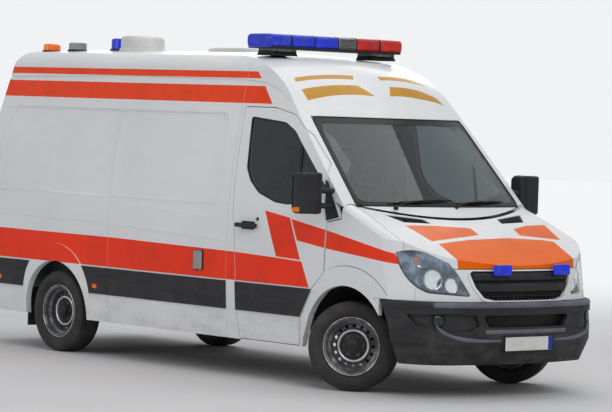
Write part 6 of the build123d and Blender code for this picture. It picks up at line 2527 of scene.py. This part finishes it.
@dataclass
class RearEnd(Assembly):
    """Window rubbers, handle, plate holder, lamp lines and the step's treads."""

    window: tuple = ((0.11, 1.44), (0.8, 1.44), (0.735, 2.06), (0.11, 2.06))

    def doors(self) -> None:
        """Rubber round both rear windows, joint lines and inner boards of each door."""
        for side in Side:
            label = side.label
            sign = side.value
            body = f"rear_door_{label}"
            skin = self.skin(f"{body}_glass", body)
            path = skin.trace([(BEHIND_TAIL, sign * y, z) for y, z in rounded(self.window, 0.05)], AHEAD, 0.001)
            self.add(Form().tube(path, 0.0075, 8, closed=True), f"rear_window_rubber_{label}", "seal_rubber", body)
            press = rounded([(0.09, 0.66), (0.82, 0.66), (0.84, 0.92), (0.84, 1.28), (0.09, 1.28)], 0.05)
            line = skin.trace([(BEHIND_TAIL, sign * y, z) for y, z in press], AHEAD, -0.0012)
            self.add(Form().tube(line, 0.0035, 6, closed=True), f"rear_press_line_{label}", "paint_plain", body)
            inner = oblong(0.09, 0.64, 0.8, 1.36, 0.04)
            board = self.skin(body).patch([Vector((-1.5, sign * y, z)) for y, z in inner], BACK, 0.0005, 0.003,
                0.08)
            self.add(board, f"rear_board_{label}", "lining_grey", body)

    def latch(self) -> None:
        """Outer handle with its cup, and a bare plate between two lamps."""
        skin = self.skin("rear_door_left", "rear_door_right")
        met = skin.hit((BEHIND_TAIL, -0.075, 1.2), AHEAD)
        if met is None:
            return
        x = met[0].x
        cup, pull = Form(), Form()
        outline = oblong(-0.145, 1.165, -0.02, 1.25, 0.02)
        cup.prism([Vector((x - 0.0003, y, z)) for y, z in outline], (-0.003, 0, 0))
        self.add(cup, "rear_handle_cup", "gloss_black", "rear_door_right", 0.001)
        rings = []
        for y, out in ((-0.14, 0.004), (-0.13, 0.02), (-0.085, 0.026), (-0.04, 0.02), (-0.028, 0.004)):
            rings.append([Vector((x - out + dx, y, 1.208 + dz)) for dx, dz in ((0.005, -0.013), (-0.005, -0.011),
                (-0.007, 0.0), (-0.005, 0.011), (0.005, 0.013))])
        pull.rings(rings)
        self.add(pull, "rear_handle", "trim_black", "rear_door_right")
        plate = Form()
        low = skin.hit((BEHIND_TAIL, -0.45, 0.8), AHEAD)
        if low:
            px = low[0].x
            loop = oblong(-0.715, 0.745, -0.195, 0.857, 0.01)
            plate.prism([Vector((px - 0.0005, y, z)) for y, z in loop], (-0.004, 0, 0))
            self.add(plate, "rear_plate", "plate_white", "rear_door_right", 0.001)
            rim = Form()
            rim.tube([Vector((px - 0.003, y, z)) for y, z in loop], 0.0045, 6, closed=True)
            self.add(rim, "rear_plate_rim", "gloss_black", "rear_door_right")
            lamps = Form()
            for y in (-0.62, -0.29):
                lamps.block((px - 0.022, y - 0.035, 0.872), (px - 0.0005, y + 0.035, 0.892))
            self.add(lamps, "rear_plate_lamps", "trim_black", "rear_door_right", 0.003)

    def lamps(self) -> None:
        """Frames and dividing lines of the tail lamps."""
        skin = self.skin("red_lamps", "amber_lamps", "rear_frame", "side_panel_left", "side_panel_right_rear")
        for side in Side:
            sign = side.value
            lines = Form()
            for z in (0.968, 1.075, 1.185, 1.295, 1.4, 1.502):
                path = []
                for k in range(9):
                    a = math.radians(2 + 86 * k / 8)
                    target = Vector((ARCH_X - 4.7, sign * 0.85, z))
                    out = Vector((-math.cos(a), sign * math.sin(a), 0))
                    met = skin.hit(target + out * 0.6, -out)
                    if met and abs(met[0].y) > 0.917 and met[0].x < ARCH_X - 4.752:
                        path.append(met[0] + met[1] * 0.0006)
                if len(path) > 2:
                    lines.tube(path, 0.0035, 6)
            if lines.bm.verts:
                self.add(lines, f"tail_lamp_lines_{side.label}", "gloss_black")

    def step(self) -> None:
        """Ribbed treads on the rear step and its two reflectors."""
        skin = self.skin("rear_bumper")
        tread = Form()
        for k in range(5):
            x = ARCH_X - 4.855 + 0.014 * k
            met = skin.hit((x, 0.0, 1.0), DOWN)
            if met:
                z = met[0].z
                for y0, y1 in ((-0.88, -0.46), (-0.42, 0.42), (0.46, 0.88)):
                    tread.block((x - 0.003, y0, z - 0.001), (x + 0.003, y1, z + 0.003))
        self.add(tread, "step_treads", "trim_black", bevel=0.001)
        marks = Form()
        for y in (-0.8, 0.8):
            met = skin.hit((BEHIND_TAIL, y, 0.46), AHEAD)
            if met:
                x = met[0].x
                marks.block((x - 0.005, y - 0.06, 0.445), (x + 0.001, y + 0.06, 0.485))
        # The red lens finish glows a little, a painted glow on these reflectors, which are no lamp.
        self.add(marks, "rear_reflectors", "red_lens", bevel=0.002)

    def build(self) -> None:
        """Makes the rear end's details."""
        self.doors()
        self.latch()
        self.lamps()
        self.step()


@dataclass
class Underbody(Assembly):
    """Spring clips, dampers, tank straps, pipes, cross-member bolts, engine ribs and the shaft's joints."""

    rear_axle: float = -3.667
    radius: float = 0.345

    def springs(self) -> None:
        """Shackles, U-bolts and leaf clips of the rear springs, and the dampers beside them."""
        form, damp = Form(), Form()
        for s in (-1, 1):
            y = s * 0.56
            for dx in (-0.055, 0.055):
                x = self.rear_axle + dx
                for dy in (-0.04, 0.04):
                    form.tube([at(x, y + dy, 0.285), at(x, y + dy, 0.425)], 0.006, 8)
                form.tube([at(x, y - 0.04, 0.421), at(x, y + 0.04, 0.421)], 0.006, 8)
            for dx in (-0.4, 0.4):
                z = 0.386 + 0.07 * (dx / 0.64) ** 2
                form.block(at(self.rear_axle + dx - 0.014, y - 0.036, z - 0.01),
                    at(self.rear_axle + dx + 0.014, y + 0.036, z + 0.036))
            for dx in (-0.64, 0.64):
                form.lathe([(0.012, -0.05), (0.024, -0.05), (0.024, 0.05), (0.012, 0.05)],
                    at(self.rear_axle + dx, y, 0.459), LEFTWARD, 20)
                form.block(at(self.rear_axle + dx - 0.012, y - 0.05, 0.455),
                    at(self.rear_axle + dx + 0.012, y - 0.042, 0.52))
                form.block(at(self.rear_axle + dx - 0.012, y + 0.042, 0.455),
                    at(self.rear_axle + dx + 0.012, y + 0.05, 0.52))
            foot, top = at(self.rear_axle - 0.1, s * 0.47, 0.33), at(self.rear_axle - 0.28, s * 0.44, 0.5)
            damp.tube([foot, foot.lerp(top, 0.55)], 0.026, 16)
            damp.tube([foot.lerp(top, 0.5), top], 0.012, 12)
        self.add(form, "spring_clips", "chassis_black", bevel=0.002)
        self.add(damp, "rear_dampers", "cast_iron")

    def driveline(self) -> None:
        """Universal joints on the shaft, the axle cover with its bolts, and ribs on the gearbox and under the
        engine.
        """
        form = Form()
        for x in (-0.93, -3.47):
            t = (x + 0.9) / (self.rear_axle + 0.142 + 0.9)
            z = 0.362 + (self.radius - 0.362) * t
            form.lathe([(0.036, -0.05), (0.048, -0.04), (0.048, -0.012), (0.038, 0.0), (0.048, 0.012),
                (0.048, 0.04), (0.036, 0.05)], at(x, 0, z), (1, 0, 0.006), 24)
        for a in range(10):
            t = 2 * math.pi * a / 10
            form.lathe([(0.008, -0.004), (0.008, 0.01), (0.005, 0.012)],
                at(self.rear_axle - 0.112, 0.068 * math.cos(t), self.radius + 0.068 * math.sin(t)), BACK, 6)
        form.lathe([(0.082, -0.001), (0.082, 0.01), (0.06, 0.026), (0.004, 0.03)],
            at(self.rear_axle - 0.106, 0, self.radius), BACK, 36)
        for k in range(6):
            form.block(at(-0.84 + 0.1 * k, -0.153, 0.304), at(-0.832 + 0.1 * k, 0.153, 0.422))
        for k in range(7):
            form.block(at(0.09 + 0.052 * k, -0.15, 0.399), at(0.096 + 0.052 * k, 0.15, 0.405))
        self.add(form, "driveline_ribs", "alloy_casting", bevel=0.0015)

    def engine(self) -> None:
        """Cover, belts' pulleys, filler cap and hoses round the engine block."""
        cover = Form()
        loop = oblong(0.04, -0.2, 0.5, 0.2, 0.05)
        cover.rings([[at(x, y, z) for x, y in pts] for pts, z in ((loop, 0.981), (loop, 1.0),
            ([tuple(p) for p in shrunk(loop, 0.02)], 1.012))])
        for k in range(5):
            cover.block(at(0.09, -0.15 + 0.066 * k, 1.011), at(0.45, -0.142 + 0.066 * k, 1.016))
        cover.lathe([(0.028, 0.0), (0.028, 0.012), (0.022, 0.016), (0.004, 0.016)], at(0.44, -0.1, 1.01), UP, 24)
        self.add(cover, "engine_cover", "trim_black", bevel=0.003)
        pulleys = Form()
        for y, z, r in ((0.0, 0.62, 0.085), (0.14, 0.78, 0.055), (-0.14, 0.8, 0.06), (0.0, 0.88, 0.045)):
            pulleys.lathe([(0.012, 0.0), (r, 0.0), (r, 0.006), (r - 0.006, 0.01), (r, 0.014), (r, 0.022),
                (0.012, 0.022)], at(0.5605, y, z), AHEAD, 36)
        self.add(pulleys, "engine_pulleys", "alloy_casting")
        hoses = Form()
        hoses.tube(smooth_path([at(0.48, 0.22, 0.93), at(0.6, 0.3, 0.95), at(0.66, 0.32, 0.86),
            at(0.66, 0.28, 0.74)], 6), 0.02, 12)
        hoses.tube(smooth_path([at(0.1, -0.24, 0.9), at(0.02, -0.34, 0.93), at(0.1, -0.44, 0.94)], 6), 0.03, 12)
        self.add(hoses, "engine_hoses", "seal_rubber")

    def tank(self) -> None:
        """Straps round the tank, brake pipes and the exhaust's clamps and hangers."""
        straps = Form()
        for x in (-2.3, -1.9):
            loop = oblong(-0.903, 0.297, -0.497, 0.503, 0.035, 5)
            rings = []
            for dx, grow in ((-0.017, 0.0), (-0.017, 0.0025), (0.017, 0.0025), (0.017, 0.0)):
                rings.append([at(x + dx, y + (0.7 * grow if y > -0.7 else -0.7 * grow),
                    z + (grow if z > 0.4 else -grow)) for y, z in loop])
            straps.rings(rings, loop=True)
        for y in (0.4, -0.4):
            straps.tube(smooth_path([at(0.7, y, 0.52), at(-1.2, y, 0.522), at(-2.6, y, 0.522), at(-3.6, y, 0.522)],
                4), 0.0045, 6)
        self.add(straps, "tank_straps", "chassis_black")
        clamps = Form()
        for x in (-2.58, -1.92):
            clamps.lathe([(0.0845, -0.012), (0.088, -0.012), (0.088, 0.012), (0.0845, 0.012)], at(x, 0.64, 0.4),
                AHEAD, 36, loop=True)
        for x, z in ((-1.88, 0.4009), (-2.64, 0.4)):
            clamps.lathe([(0.028, -0.016), (0.034, -0.016), (0.034, 0.016), (0.028, 0.016)], at(x, 0.64, z), AHEAD,
                24, loop=True)
        for x in (-2.45, -2.05):
            clamps.tube([at(x, 0.64, 0.486), at(x, 0.63, 0.52)], 0.006, 8)
        self.add(clamps, "exhaust_clamps", "exhaust_steel")

    def bolts(self) -> None:
        """Bolt heads and gussets where the cross-members meet the rails."""
        form = Form()
        for x in (-4.7, -3.9, -3.1, -2.3, -1.5, -0.7, 0.7):
            for s in (-1, 1):
                for dx in (-0.022, 0.022):
                    form.lathe([(0.01, 0.0), (0.01, 0.007), (0.006, 0.009)], at(x + dx, s * 0.4805, 0.465),
                        (0, s, 0), 6)
                    form.lathe([(0.009, 0.0), (0.009, 0.006), (0.006, 0.008)], at(x + dx, s * 0.38, 0.4305), DOWN,
                        6)
        self.add(form, "rail_bolts", "cast_iron")

    def build(self) -> None:
        """Makes the underbody's details."""
        self.springs()
        self.driveline()
        self.engine()
        self.tank()
        self.bolts()


@dataclass
class LoadSpace(Assembly):
    """Floor rails, and the hatch's frame and upright ribs behind the cab."""

    def build(self) -> None:
        """Makes the fittings of the load space."""
        rails = Form()
        for y in (-0.3, 0.3):
            rails.block(at(-4.6, y - 0.025, 0.5595), at(-1.6, y - 0.008, 0.566))
            rails.block(at(-4.6, y + 0.008, 0.5595), at(-1.6, y + 0.025, 0.566))
        self.add(rails, "floor_rails", "alloy_casting", bevel=0.001)
        frame_form = Form()
        rings = []
        outer = oblong(-0.38, 1.32, 0.38, 1.83, 0.04)
        inner = oblong(-0.345, 1.355, 0.345, 1.795, 0.03)
        for loop, x in ((outer, -1.4185), (outer, -1.412), (inner, -1.412), (inner, -1.4185)):
            rings.append([at(x, y, z) for y, z in loop])
        frame_form.rings(rings, loop=True)
        for k in range(9):
            y = -0.8 + 0.2 * k
            if abs(y) > 0.4:
                frame_form.tube([at(-1.4195, y, 0.7), at(-1.4195, y, 1.9)], 0.004, 6)
        self.add(frame_form, "hatch_frame", "dash_grey")


def main() -> None:
    """Builds the dressed ambulance."""
    logging.basicConfig(level=logging.INFO, format="%(message)s")
    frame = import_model()
    finishes = Finishes()
    kit = (finishes, frame)
    Studio().build()
    BodyShell(*kit).dress()
    for side in Side:
        for end in ("front", "rear"):
            wheel = Wheel(*kit, f"wheel_{end}_{side.label}", side, end == "front")
            wheel.build()
            Brake(*kit, wheel, f"steer_{side.label}" if wheel.front else "body").build()
        HeadLamp(*kit, side).build()
        DoorMirror(*kit, side).build()
    pads = Seat(*kit, Side.RIGHT).meshes()
    for side in Side:
        Seat(*kit, side).build(pads)
        DoorLining(*kit, side).build()
    for part in (Cab, RearEnd, Underbody, LoadSpace, Grille, Screen, Nose, SideTrim, RoofLamps):
        part(*kit).build()


if __name__ == "__main__":
    main()
